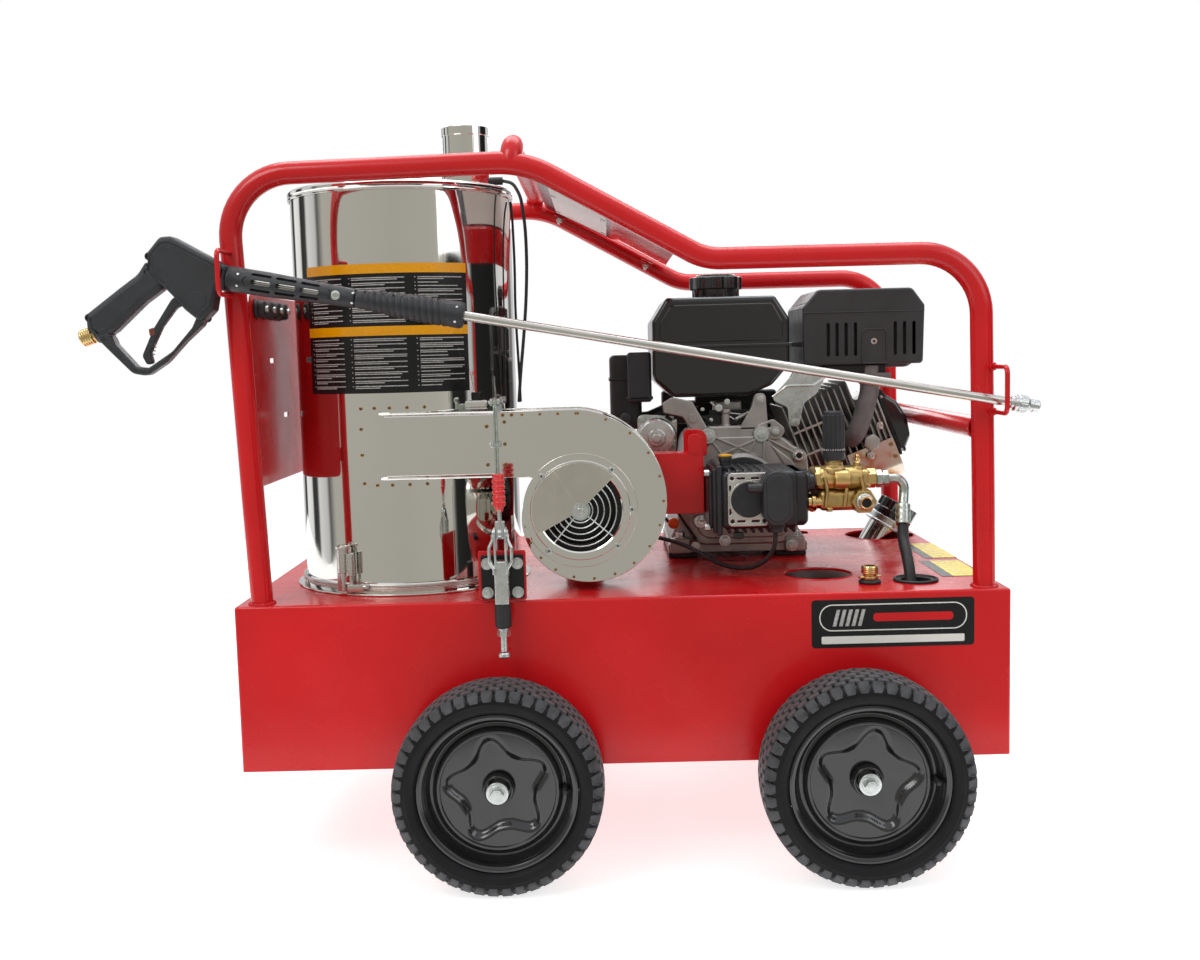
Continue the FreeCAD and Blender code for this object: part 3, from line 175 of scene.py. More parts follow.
VINYL_YELLOW = material("yellow_vinyl_sticker", (0.86, 0.66, 0.0), 0.28, spread=0.06, blotch=20, grain=0.04)
VINYL_GREY = material("grey_printed_bars", (0.42, 0.41, 0.40), 0.4, spread=0.25, blotch=260, grain=0.05)
VINYL_PALE = material("pale_vinyl_sticker", (0.74, 0.72, 0.68), 0.35, spread=0.05, blotch=15, grain=0.05)
# painted shade: a dark red-violet finish that stands in for the shadow on the underside of the red console
# sheet
PAINTED_UNDERSIDE_SHADE = material("painted_underside_shade", (0.032, 0.014, 0.026), 0.22, coat=0.2, spread=0.15,
        blotch=6)
TANK_PLASTIC = material("translucent_tank_plastic", (0.62, 0.61, 0.55), 0.5, spread=0.08, blotch=10,
        grain=0.2)

SATIN_LEAF = material("satin_stainless_leaf", (0.62, 0.60, 0.54), 0.22, metallic=1, spread=0.06, blotch=20,
        rough_spread=0.08, wave=0.12, brushed=(1, 1, 0.05))

def heat_tinted():
    """Straw, copper and violet bands where the exhaust has heated the shroud's steel."""
    made = material("heat_tinted_shroud", (0.62, 0.56, 0.46), 0.24, metallic=1, spread=0.1)
    tree = made.node_tree
    ramp = next(n for n in tree.nodes if n.type == "VALTORGB")
    ramp.color_ramp.elements[0].color = (0.68, 0.67, 0.63, 1)
    ramp.color_ramp.elements[1].color = (0.62, 0.58, 0.52, 1)
    for place, colour in ((0.44, (0.68, 0.60, 0.50)), (0.52, (0.56, 0.22, 0.12)),
            (0.60, (0.66, 0.58, 0.48))):
        ramp.color_ramp.elements.new(place).color = (*colour, 1)
    return made


HEAT = heat_tinted()

# ---------------------------------------------------------------- shapes in mesh code


def rounded(corners, steps=4, closed=True):
    """Corners (x, y) or (x, y, radius) become a list of points with each radius drawn as an arc."""
    spots = [Vector(c[:2]) for c in corners]
    out = []
    for i, corner in enumerate(corners):
        ends = not closed and i in (0, len(corners) - 1)
        if len(corner) < 3 or ends:
            out.append(spots[i])
            continue
        into = (spots[i] - spots[i - 1]).normalized()
        onward = (spots[(i + 1) % len(spots)] - spots[i]).normalized()
        turn = into.angle(onward)
        if turn < 0.01:
            out.append(spots[i])
            continue
        reach = min((spots[i] - spots[i - 1]).length,
                (spots[(i + 1) % len(spots)] - spots[i]).length) * 0.48
        back = min(corner[2] * math.tan(turn / 2), reach)
        radius = back / math.tan(turn / 2)
        side = (onward - into).normalized()
        middle = spots[i] + side * (radius / math.cos(turn / 2))
        first, last = spots[i] - into * back - middle, spots[i] + onward * back - middle
        for k in range(steps + 1):
            step = first.slerp(last, k / steps) if first.angle(last) < 3.1 else first.lerp(last, k / steps)
            out.append(middle + step.normalized() * radius)
    return out


def oblong(left, low, right, high, *radius):
    """The corners of a rectangle, all with the same radius if one is given."""
    return [(left, low, *radius), (right, low, *radius), (right, high, *radius), (left, high, *radius)]


def around(count, radius):
    """Places evenly round a circle."""
    turns = [2 * math.pi * i / count for i in range(count)]
    return [(radius * math.cos(turn), radius * math.sin(turn)) for turn in turns]


def lobed(count, radius, depth, edge, steps):
    """A circle whose edge has lobes; edge says how steep their flanks are."""
    reach = [radius + depth * max(-1, min(1, edge * math.cos(count * 2 * math.pi * i / steps)))
            for i in range(steps)]
    return [(far * x, far * y) for far, (x, y) in zip(reach, around(steps, 1))]


def bent(points, radii, steps=8):
    """A route of straight runs whose inner corners are arcs, as points in space."""
    spots = [Vector(p) for p in points]
    out = [spots[0]]
    for i in range(1, len(spots) - 1):
        into, onward = (spots[i] - spots[i - 1]).normalized(), (spots[i + 1] - spots[i]).normalized()
        turn = into.angle(onward)
        back = radii[i - 1] * math.tan(turn / 2)
        middle = spots[i] + (onward - into).normalized() * (radii[i - 1] / math.cos(turn / 2))
        first = (spots[i] - into * back - middle).normalized()
        last = (spots[i] + onward * back - middle).normalized()
        out += [middle + first.slerp(last, k / steps) * radii[i - 1] for k in range(steps + 1)]
    return out + [spots[-1]]


def mesh_of(curve):
    """Turns a curve into a mesh and removes the curve."""
    holder = bpy.data.objects.new("holder", curve)
    mesh = bpy.data.meshes.new_from_object(holder)
    bpy.data.objects.remove(holder)
    bpy.data.curves.remove(curve)
    return mesh


def slab(outline, thick, soft=0.0, holes=(), steps=2):
    """A flat plate, from 0 to thick along Z, with rounded edges and any holes."""
    curve = bpy.data.curves.new("slab", "CURVE")
    curve.dimensions = "2D"
    curve.fill_mode = "BOTH"
    curve.extrude = thick / 2 - soft
    curve.bevel_depth = soft
    curve.bevel_resolution = steps
    curve.offset = -soft
    for loop in (outline, *holes):
        spline = curve.splines.new("POLY")
        spline.points.add(len(loop) - 1)
        for point, spot in zip(spline.points, loop):
            point.co = (spot[0], spot[1], 0, 1)
        spline.use_cyclic_u = True
    mesh = mesh_of(curve)
    mesh.transform(at(0, 0, thick / 2))
    return mesh


def circle(radius, x=0.0, y=0.0, steps=40):
    """An outline for a plate or a hole."""
    return [(x + across, y + along) for across, along in around(steps, radius)]


def tube(points, radius, sides=16, cyclic=False):
    """A round bar along a route; cyclic joins its ends."""
    curve = bpy.data.curves.new("tube", "CURVE")
    curve.dimensions = "3D"
    curve.bevel_depth = radius
    curve.bevel_resolution = sides // 4
    curve.use_fill_caps = not cyclic
    spline = curve.splines.new("POLY")
    spline.points.add(len(points) - 1)
    for point, spot in zip(spline.points, points):
        point.co = (*spot, 1)
    spline.use_cyclic_u = cyclic
    return mesh_of(curve)


def lathe(profile, steps=48, ring=False, shear=None):
    """Turns (radius, along) corners about Z; ring joins the last corner to the first."""
    bm = bmesh.new()
    rows = []
    for radius, along in profile:
        if radius < 1e-6:
            rows.append([bm.verts.new((0, 0, along))])
            continue
        row = []
        for i in range(steps):
            angle = 2 * math.pi * i / steps
            lift = shear(along, angle) if shear else 0
            row.append(bm.verts.new((radius * math.cos(angle), radius * math.sin(angle), along + lift)))
        rows.append(row)
    pairs = list(zip(rows, rows[1:])) + ([(rows[-1], rows[0])] if ring else [])
    for low, high in pairs:
        for i in range(steps):
            j = (i + 1) % steps
            if len(low) == 1 and len(high) == 1:
                break
            if len(low) == 1:
                bm.faces.new((low[0], high[i], high[j]))
            elif len(high) == 1:
                bm.faces.new((low[i], high[0], low[j]))
            else:
                bm.faces.new((low[i], high[i], high[j], low[j]))
    bmesh.ops.recalc_face_normals(bm, faces=bm.faces)
    return from_bm(bm)


def turned(corners, steps=48, ring=False, arc=3):
    """A lathe piece whose corners (radius, along, rounding) may be rounded."""
    return lathe(rounded(corners, arc, closed=ring), steps, ring)


def from_bm(bm):
    """Closes an edit mesh into a mesh."""
    mesh = bpy.data.meshes.new("part")
    bm.to_mesh(mesh)
    bm.free()
    return mesh


def block(long, wide, high, soft=1.0, steps=2):
    """A box from the origin with all edges rounded."""
    bm = bmesh.new()
    bmesh.ops.create_cube(bm, size=1)
    for vert in bm.verts:
        vert.co = ((vert.co.x + 0.5) * long, (vert.co.y + 0.5) * wide, (vert.co.z + 0.5) * high)
    bmesh.ops.bevel(bm, geom=bm.edges[:] + bm.verts[:], offset=soft, segments=steps, affect="EDGES",
            profile=0.5)
    return from_bm(bm)


def hexagon(flats, high, soft=0.8):
    """A hexagon bar along Z, sized across its flats."""
    return slab(around(6, flats / math.sqrt(3)), high, soft, (), 1)


def rod(radius, long, soft=0.6, steps=32):
    """A plain cylinder along Z with softened ends."""
    return turned([(0, 0), (radius, 0, soft), (radius, long, soft), (0, long)], steps, arc=2)


def bead(path_radius, wire, ripples, steps=120):
    """A weld or crimp ring whose thickness ripples along it."""
    bm = bmesh.new()
    rows = []
    for i in range(steps):
        angle = 2 * math.pi * i / steps
        thick = wire * (1 + 0.16 * math.sin(ripples * angle))
        row = []
        for k in range(8):
            turn = 2 * math.pi * k / 8
            far = path_radius + thick * math.cos(turn)
            row.append(bm.verts.new((far * math.cos(angle), far * math.sin(angle), thick * math.sin(turn))))
        rows.append(row)
    for i in range(steps):
        for k in range(8):
            bm.faces.new((rows[i][k], rows[(i + 1) % steps][k], rows[(i + 1) % steps][(k + 1) % 8],
                    rows[i][(k + 1) % 8]))
    return from_bm(bm)


def coil(radius, wire, pitch, turns, per_turn=20):
    """A wound spring along Z."""
    count = int(turns * per_turn)
    steps = [(2 * math.pi * i / per_turn, pitch * i / per_turn) for i in range(count + 1)]
    return tube([(radius * math.cos(turn), radius * math.sin(turn), z) for turn, z in steps], wire, 8)


class Shape:
    """One visible piece: parts are added in millimetres with their finishes, then it is closed."""

    def __init__(self, finish, place=None):
        self.finish = finish
        self.place = place or Matrix.Identity(4)
        self.bm = bmesh.new()
        self.finishes = []

    def add(self, mesh, where=None, finish=None):
        finish = finish or self.finish
        if finish not in self.finishes:
            self.finishes.append(finish)
        index = self.finishes.index(finish)
        if where is not None:
            mesh.transform(where)
            if where.determinant() < 0:
                mesh.flip_normals()
        before = len(self.bm.faces)
        self.bm.from_mesh(mesh)
        bpy.data.meshes.remove(mesh)
        self.bm.faces.ensure_lookup_table()
        for face in self.bm.faces[before:]:
            face.material_index = index
        return self

    def bolt(self, x, y, z, turn="-Y", flats=13, washer=11, head=6):
        """A zinc hexagon head on its washer."""
        place = at(x, y, z, turn)
        self.add(rod(washer, 2, 0.5), place, ZINC)
        self.add(hexagon(flats, head, 0.7), place @ at(0, 0, 2), ZINC)
        return self.add(rod(flats * 0.36, 0.5, 0.2), place @ at(0, 0, 2 + head), ZINC)

    def plate(self, corners, thick, y, soft=1.5, holes=(), steps=3, finish=None):
        """A plate that faces the front; y is its front face."""
        return self.add(slab(rounded(corners), thick, soft, holes, steps), at(0, y + thick, 0) @ UPRIGHT,
                finish)

    def done(self, name, body, nodes=(), sharp=38, weighted=True):
        mesh = from_bm(self.bm)
        mesh.name = name
        mesh.transform(TO_ROW @ self.place)
        for finish in self.finishes:
            mesh.materials.append(finish)
        mesh.shade_smooth()
        mesh.set_sharp_from_angle(angle=math.radians(sharp))
        piece = bpy.data.objects.new(name, mesh)
        bpy.context.scene.collection.objects.link(piece)
        if weighted:
            piece.modifiers.new("even_shading", "WEIGHTED_NORMAL").keep_sharp = True
        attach(piece, body)
        if nodes:
            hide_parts(*nodes)
        return piece


def cut_out(mesh, cutters):
    """Takes each cutter's volume out of a mesh."""
    target = bpy.data.objects.new("target", mesh)
    bpy.context.scene.collection.objects.link(target)
    tools = []
    for number, cutter in enumerate(cutters):
        tool = bpy.data.objects.new("tool_%d" % number, cutter)
        bpy.context.scene.collection.objects.link(tool)
        tools.append(tool)
        made = target.modifiers.new("cut", "BOOLEAN")
        made.operation = "DIFFERENCE"
        made.solver = "EXACT"
        made.object = tool
    result = bpy.data.meshes.new_from_object(target.evaluated_get(bpy.context.evaluated_depsgraph_get()))
    for holder in tools + [target]:
        old = holder.data
        bpy.data.objects.remove(holder)
        bpy.data.meshes.remove(old)
    return result


# ---------------------------------------------------------------- base

AXLE_X = (-178, 333)
AXLE_Z = -249
DECK_PORT = (305, 155, 52)
HOSE_HOLE = (438, 80, 27)
FILLER_RECESS = (484, 549, 62)


def base_shell():
    long, wide, high, skin = 1110, 654.5, 242.5, 3
    bm = bmesh.new()
    bmesh.ops.create_cube(bm, size=1)
    for vert in bm.verts:
        vert.co = (vert.co.x * long, (vert.co.y + 0.5) * wide, (vert.co.z - 0.5) * (high + 20))
    bmesh.ops.bevel(bm, geom=bm.edges[:], offset=4.5, segments=5, affect="EDGES", profile=0.5)
    bmesh.ops.bisect_plane(bm, geom=bm.verts[:] + bm.edges[:] + bm.faces[:], plane_co=(0, 0, -high),
            plane_no=(0, 0, -1), clear_outer=True)
    holder = bpy.data.objects.new("holder", from_bm(bm))
    bpy.context.scene.collection.objects.link(holder)
    wall = holder.modifiers.new("wall", "SOLIDIFY")
    wall.thickness = skin
    wall.offset = -1
    mesh = bpy.data.meshes.new_from_object(holder.evaluated_get(bpy.context.evaluated_depsgraph_get()))
    bpy.data.objects.remove(holder)
    through = 40
    holes = []
    for x, y, radius in (DECK_PORT, HOSE_HOLE, FILLER_RECESS):
        hole = slab(circle(radius, x, y, 64), through)
        hole.transform(at(0, 0, -through / 2))
        holes.append(hole)
    slot = slab(rounded(oblong(337, 586, 361, 624, 8)), through)
    slot.transform(at(0, 0, -through / 2))
    holes.append(slot)
    for x in AXLE_X:
        notch = slab(circle(13, x, AXLE_Z, 32), wide + 40)
        notch.transform(UPRIGHT)
        notch.transform(at(0, wide + 20, 0))
        holes.append(notch)
    mesh = cut_out(mesh, holes)
    base = Shape(RED)
    base.add(mesh)
    # the pan under the fuel tank and battery
    base.add(block(long - 8, wide - 8, 2.5, 1), at(-long / 2 + 4, 4, -226))
    # rolled lips of the two round openings
    for (x, y, radius), wire in ((DECK_PORT, 1.6), (FILLER_RECESS, 1.4)):
        base.add(bead(radius + 1, wire, 0), at(x, y, -0.3))
    base.done("base_shell", "base", ["deck_plate", "base_panels"])


def side_panel_screws():
    screws = Shape(ZINC)
    for x, turn in ((555, "+X"), (-555, "-X")):
        for y in (40, 327, 614):
            for z in (-18, -226):
                screws.add(rod(5.5, 4, 1.5, 20), at(x, y, z, turn))
    screws.done("side_panel_screws", "base")


def front_label():
    label = Shape(VINYL_PALE)
    plate = rounded(oblong(270, -80.3, 502, -10.6, 5))
    front = at(0, 0, 0) @ UPRIGHT
    label.add(slab(plate, 0.5, 0.2), front, VINYL_BLACK)
    pill = rounded(oblong(281, -56.1, 491.6, -17.3, 19.3), 10)
    inner = rounded(oblong(282.6, -54.5, 490, -18.9, 17.7), 10)
    label.add(slab(pill, 0.8, 0, [inner]), front)
    for i in range(5):
        x = 300 + 9 * i
        label.add(slab([(x, -49), (x + 5, -49), (x + 11, -25), (x + 6, -25)], 0.8, 0.1), front, VINYL_GREY)
    label.add(slab(rounded(oblong(358, -43, 472, -31, 5)), 0.8, 0.1), front, RED)
    label.add(slab(rounded(oblong(284, -74.5, 488, -63.6, 2)), 0.8, 0.1), front)
    label.done("front_label", "base")


def deck_stickers():
    hazard = Shape(VINYL_BLACK)
    # two deck stickers: a black strip along the left quarter, faint lines over the yellow
    for left, right, near, far in ((500, 552, 272, 430), (484, 548, 104, 248)):
        quarter = left + 0.26 * (right - left)
        hazard.add(slab(oblong(left, near, right, far), 0.4), at(0, 0, 0.1))
        hazard.add(slab(oblong(quarter, near + 2, right - 1.5, far - 2), 0.6), at(0, 0, 0.1), VINYL_YELLOW)
        for i in range(7):
            y = near + 18 + 0.8 * (far - near) / 6 * i
            end = right - 8 - 5 * (i % 3)
            hazard.add(slab(oblong(quarter + 6, y, end, y + 2), 0.75), at(0, 0, 0.1), VINYL_GREY)
    hazard.done("deck_stickers", "base")


def axle_pieces():
    gear = Shape(BLACK_PAINT)
    for x in AXLE_X:
        gear.add(rod(12.5, 845, 1.5), at(x, -95, AXLE_Z, "+Y"), SATIN_STEEL)
        for y, turn in ((-0.5, "-Y"), (655, "+Y")):
            gear.add(turned([(12.6, 0), (17, 0, 2), (17, 15, 1), (12.6, 15)], 32, True),
                    at(x, y, AXLE_Z, turn))
        for y in (4, 642):
            gear.add(block(70, 8, 26, 2), at(x - 35, y, -255), RED)
    gear.done("axle_bars", "base", ["axles"])


# ---------------------------------------------------------------- cage

TUBE = 15.875
CAGE_LINE = [(-520, 0), (-540.4, 608), (-122, 617), (129, 476.5), (516.3, 476.5), (523, 0)]
CAGE_BENDS = [88, 150, 88, 88]
CONSOLE_LINE = [(-118, 619), (1, 559), (14, 557.5), (102, 508)]


def cage():
    for name, y, nodes in (("front_cage", 24, ["front_cage_frame", "lance_hooks"]),
            ("rear_cage", 630.5, ["rear_cage_frame"])):
        shape = Shape(RED)
        line = bent([(x, y, z) for x, z in CAGE_LINE], CAGE_BENDS, 14)
        shape.add(tube(line, TUBE, 40))
        for x in (CAGE_LINE[0][0], CAGE_LINE[-1][0]):
            shape.add(bead(TUBE + 1, 2.6, 38), at(x, y, 0.6))
        if y > 100:
            shape.add(tube([(518.5, 40, 228), (518.5, 615, 228)], TUBE, 32))
            arch = bent([(-141, 24, 616), (-137, 26, 642), (-137, 628.5, 642), (-141, 630.5, 616)],
                    [22, 22])
            shape.add(tube(arch, TUBE, 32))
            for y_end in (38, 616):
                shape.add(bead(TUBE, 2.2, 30), at(518.5, y_end, 228, "+Y"))
        else:
            for x, low, top in ((-536, 441, 500), (531, 251.5, 315)):
                loop = bent([(x, y - 13, top), (x, -52, top), (x, -52, low), (x, y - 13, low)], [10, 10], 6)
                shape.add(tube(loop, 3.5, 16))
                for z in (low, top):
                    shape.add(bead(4.2, 1.6, 9, 40), at(x, y - 14, z, "+Y"))
        shape.done(name, "base", nodes)


NOZZLES = (70, 112, 154, 196)


def nozzle_panel_sheet():
    side = Shape(RED)
    outline = rounded(oblong(45, 166, 608, 446, 12))
    holes = [circle(9.2, y, 424, 24) for y in NOZZLES]
    for y, z in ((140, 346), (208, 261), (480, 346)):
        holes.append(rounded(oblong(y, z, y + 26, z + 7, 3.4)))
    side.add(slab(outline, 2.2, 0.8, holes), at(-523.2, 0, 0) @ SIDEWAYS)
    for y in (44, 610):
        for z in (200, 410):
            side.add(block(4, 12, 22, 1), at(-527, y - 6, z - 11))
    side.done("nozzle_panel_sheet", "base", ["nozzle_panel"])


def spray_tips():
    tips = Shape(RUBBER)
    for y in NOZZLES:
        place = at(-521, y, 424, "-X")
        tips.add(turned([(5.4, -6), (14, -6, 2), (14, -0.4, 1.5), (9, -0.2), (9, 2.4), (14, 2.6, 1.5),
                (14, 8, 2), (5.4, 8, 1)], 32, True), place)
        tips.add(turned([(0, -20), (4.6, -20, 1), (4.6, -8), (5.1, -8), (5.1, 8), (9, 8, 1.5), (9, 17, 1.5),
                (6, 19), (5.6, 34, 1), (0, 34)], 24), place, ZINC)
        # the plugs inside the cage, each held by a dark collar
        tips.add(turned([(5, -16), (12, -15, 2), (13, -9, 2), (12.5, -6), (5, -6)], 24, True), place)
    tips.done("spray_tips", "base", ["spray_nozzles"])


def console_sheet():
    # the bent sheet between the sloping rails, with painted shade on its underside, held to the back rail
    # by two clips
    sheet = Shape(ZINC)
    soft = rounded([(x, z, 9) for x, z in CONSOLE_LINE], 5, closed=False)
    top = []
    for i, (x, z) in enumerate(soft):
        ahead, behind = soft[min(i + 1, len(soft) - 1)], soft[max(i - 1, 0)]
        run = Vector((ahead[0] - behind[0], ahead[1] - behind[1])).normalized()
        top.insert(0, (x - run.y * 2.5, z + run.x * 2.5))
    sheet.add(slab(soft + top, 571, 0.5), at(0, 613, 0) @ UPRIGHT, RED)
    lie = at(-100, 0, 610) @ Matrix.Rotation(math.atan2(52, 104), 4, "Y")
    # a thin dark layer under the red sheet: painted shade where the underside faces away from the light
    sheet.add(slab(rounded(oblong(-16, 44, 110, 611, 3)), 0.5, 0.1), lie @ at(0, 0, -0.5), PAINTED_UNDERSIDE_SHADE)
    sheet.add(slab(rounded(oblong(2, 70, 104, 590, 4)), 0.9, 0.3), lie @ at(0, 0, -0.9), VINYL_PALE)
    for along in (8, 98):
        for y in (330, 560):
            sheet.add(block(9, 3, 0.7, 0.2), lie @ at(along - 4.5, y, -1.6), BLACK_PAINT)
    for x, z in ((-92, 600), (66, 512)):
        clip = at(x, 612, z) @ Matrix.Rotation(math.atan2(52, 104), 4, "Y")
        sheet.add(block(24, 12, 5, 1.2), clip @ at(-12, -9, -1), RED)
        sheet.add(hexagon(9, 6, 0.8), clip @ at(2, -5, -7))
        sheet.add(rod(3, 9, 0.6, 16), clip @ at(2, -5, -12))
        sheet.add(hexagon(8, 5, 0.8), clip @ at(0, -9, -6, "-Y"))
    sheet.done("console_sheet", "base", ["console_panel"])


# ---------------------------------------------------------------- wheels

TYRE_R = 147.75


def tyre_point(angle, across, lift):
    """A point on the tread: across is the distance over the crown from its middle, lift is outwards."""
    side = 1 if across >= 0 else -1
    far = abs(across)
    crown, shoulder = 33.0, 16.0
    if far <= crown:
        radius, axial, lean = TYRE_R - 1.8 * (far / crown) ** 2, far, 0.11 * far / crown
    else:
        bend = min((far - crown) / shoulder, 1.35)
        lean = 0.11 + 1.28 * min(bend, 1.0)
        radius = TYRE_R - 1.8 - shoulder * (1 - math.cos(min(bend, 1.0) * 1.3)) * 0.75
        axial = crown + 13.2 * math.sin(min(bend, 1.0) * 1.45)
        if bend > 1:
            radius -= (bend - 1) * shoulder
    radius += lift * math.cos(lean)
    axial += lift * math.sin(lean)
    return Vector((radius * math.cos(angle), side * axial, radius * math.sin(angle)))


def tread_blocks(count=46):
    bm = bmesh.new()
    pitch = 2 * math.pi / count
    # a block's outline: shares of the pitch round the tyre, and millimetres across
    tulip = [(-0.40, -4.6), (-0.18, -6.2), (0.18, -6.2), (0.40, -4.6), (0.34, 0), (0.42, 4.8), (0.20, 6.2),
            (0, 4.4), (-0.20, 6.2), (-0.42, 4.8), (-0.34, 0)]
    lug = [(-0.38, -6.4), (-0.16, -8), (0.16, -8), (0.38, -6.4), (0.40, 4), (0.30, 13), (-0.30, 13),
            (-0.40, 4)]
    rows = [(-27.5, 0.5, -1, tulip), (-13.8, 0.0, -1, tulip), (0, 0.5, 1, tulip), (13.8, 0.0, 1, tulip),
            (27.5, 0.5, 1, tulip), (42.5, 0.0, 1, lug), (-42.5, 0.0, -1, lug)]
    for middle, shift, way, shape in rows:
        for i in range(count):
            turn = (i + shift) * pitch
            rings = []
            for grow, lift in ((1.04, -4.6), (1.0, -1.0), (0.86, -0.1)):
                ring = [bm.verts.new(tyre_point(turn + u * grow * pitch, middle + way * v * grow, lift))
                        for u, v in shape]
                rings.append(ring)
            if way < 0:
                rings = [ring[::-1] for ring in rings]
            bm.faces.new(rings[2])
            for low, high in ((rings[0], rings[1]), (rings[1], rings[2])):
                for k in range(len(low)):
                    j = (k + 1) % len(low)
                    bm.faces.new((low[k], low[j], high[j], high[k]))
    bmesh.ops.recalc_face_normals(bm, faces=bm.faces)
    return from_bm(bm)


def star_disc(phase):
    """The pressed disc: a ring, and inside it a recess shaped like a five-lobed star."""
    rings, steps = 26, 120
    bm = bmesh.new()
    rows = []
    for i in range(rings + 1):
        radius = 20 + (80 - 20) * i / rings
        row = []
        for k in range(steps):
            angle = 2 * math.pi * k / steps
            wave = math.cos(5 * (angle - phase))
            edge = 60 + 10.5 * (wave + 0.18 * math.cos(10 * (angle - phase)))
            ease = min(1.0, max(0.0, (edge - radius) / 11 + 0.5))
            ease = ease * ease * (3 - 2 * ease)
            dish = 3.5 * (1 - radius / 80)
            height = -21 + 8.0 * ease + dish
            row.append(bm.verts.new((radius * math.cos(angle), radius * math.sin(angle), height)))
        rows.append(row)
    for low, high in zip(rows, rows[1:]):
        for k in range(steps):
            bm.faces.new((low[k], low[(k + 1) % steps], high[(k + 1) % steps], high[k]))
    bmesh.ops.recalc_face_normals(bm, faces=bm.faces)
    mesh = from_bm(bm)
    # outwards is towards -Z here
    if mesh.polygons[0].normal.z > 0:
        mesh.flip_normals()
    return mesh


def wheels():
    for side, y in (("front", -63.0), ("back", 717.5)):
        for end, x in zip(("left", "right"), AXLE_X):
            body = "%s_%s_wheel" % (side, end)
            lie = ALONG["+Y"] if side == "front" else ALONG["-Y"]
            place = at(x, y, AXLE_Z) @ lie
            tyre = Shape(SIDEWALL, place)
            carcass = [(112.3, -26), (112.3, -38, 2), (116, -43, 2), (119, -44.5, 1.5), (126, -46.2, 1),
                    (127.5, -45.2, 0.8), (134, -44.6, 4), (138.5, -40, 5), (142, -33), (143.2, 0, 60),
                    (142, 33), (138.5, 40, 5), (134, 44.6, 4), (127.5, 45.2, 0.8), (126, 46.2, 1),
                    (119, 44.5, 1.5), (116, 43, 2), (112.3, 38, 2), (112.3, 26)]
            tyre.add(turned(carcass, 144, True))
            tyre.add(tread_blocks(), UPRIGHT, TREAD)
            tyre.done("%s_%s_tread_tyre" % (side, end), body, ["%s_%s_tyre" % (side, end)], 40,
                    False)

            rim = Shape(ENAMEL, place)
            phase = math.radians({"left": 99, "right": 81}[end])
            if side == "front":
                phase = -phase
            front = [(79.6, -20.8), (81, -23.2, 1), (84.5, -23.4, 1), (86, -20, 1.5), (89, -14, 3),
                    (95, -13, 3), (99, -19, 2), (101, -31, 2), (104, -36.5, 2), (108, -38.4, 1.6),
                    (111.6, -38, 1.2), (112, -35, 1), (109.6, -33, 1), (108.6, 0), (108.6, 33),
                    (112, 35, 1), (111.5, 38, 1.2), (106, 38, 1.5), (104.5, 30, 2), (104, -12, 3),
                    (98, -9.5, 3), (88, -9, 3), (79.6, -17)]
            rim.add(turned(front, 120, True))
            rim.add(star_disc(phase))
            rim.add(turned([(20.2, -11.5), (23, -14.5, 1.2), (21, -24, 1.4), (18, -24.6, 1), (17, -18),
                    (12.6, -18), (12.6, 40), (22, 40, 1.5), (22, -8)], 48, True))
            back = [(22, -6), (60, -9), (80, -17), (80, -15), (60, -5), (22, -2)]
            rim.add(turned(back, 96, True))
            # air valve
            rim.add(turned([(0, -38), (3.2, -38, 1), (3.2, -31), (4, -30), (4, -10), (0, -10)], 16),
                    at(93, 0, 0), RUBBER)
            rim.done("%s_%s_pressed_rim" % (side, end), body, ["%s_%s_rim" % (side, end)],
                    34, False)


# ---------------------------------------------------------------- drum

DRUM = (-328, 235)
DRUM_R = 170
DRUM_AXIS = at(*DRUM, 0)


def drum_strip(first, last, low, high, radius, thick=0.6, steps=40):
    """A curved strip on the drum between two angles (degrees, 0 faces front, positive to the right)."""
    bm = bmesh.new()
    rows = []
    for i in range(steps + 1):
        angle = math.radians(first + (last - first) * i / steps)
        s, c = math.sin(angle), -math.cos(angle)
        rows.append([bm.verts.new((DRUM[0] + r * s, DRUM[1] + r * c, z)) for r,
                z in ((radius, low), (radius + thick, low), (radius + thick, high), (radius, high))])
    for a, b in zip(rows, rows[1:]):
        for k in range(4):
            bm.faces.new((a[k], a[(k + 1) % 4], b[(k + 1) % 4], b[k]))
    bm.faces.new(rows[0])
    bm.faces.new(rows[-1][::-1])
    bmesh.ops.recalc_face_normals(bm, faces=bm.faces)
    return from_bm(bm)


def on_drum(angle, z, lift=0.0):
    turn = math.radians(angle)
    return (at(DRUM[0] + (DRUM_R + lift) * math.sin(turn), DRUM[1] - (DRUM_R + lift) * math.cos(turn),
            z) @ Matrix.Rotation(turn, 4, "Z") @ UPRIGHT)


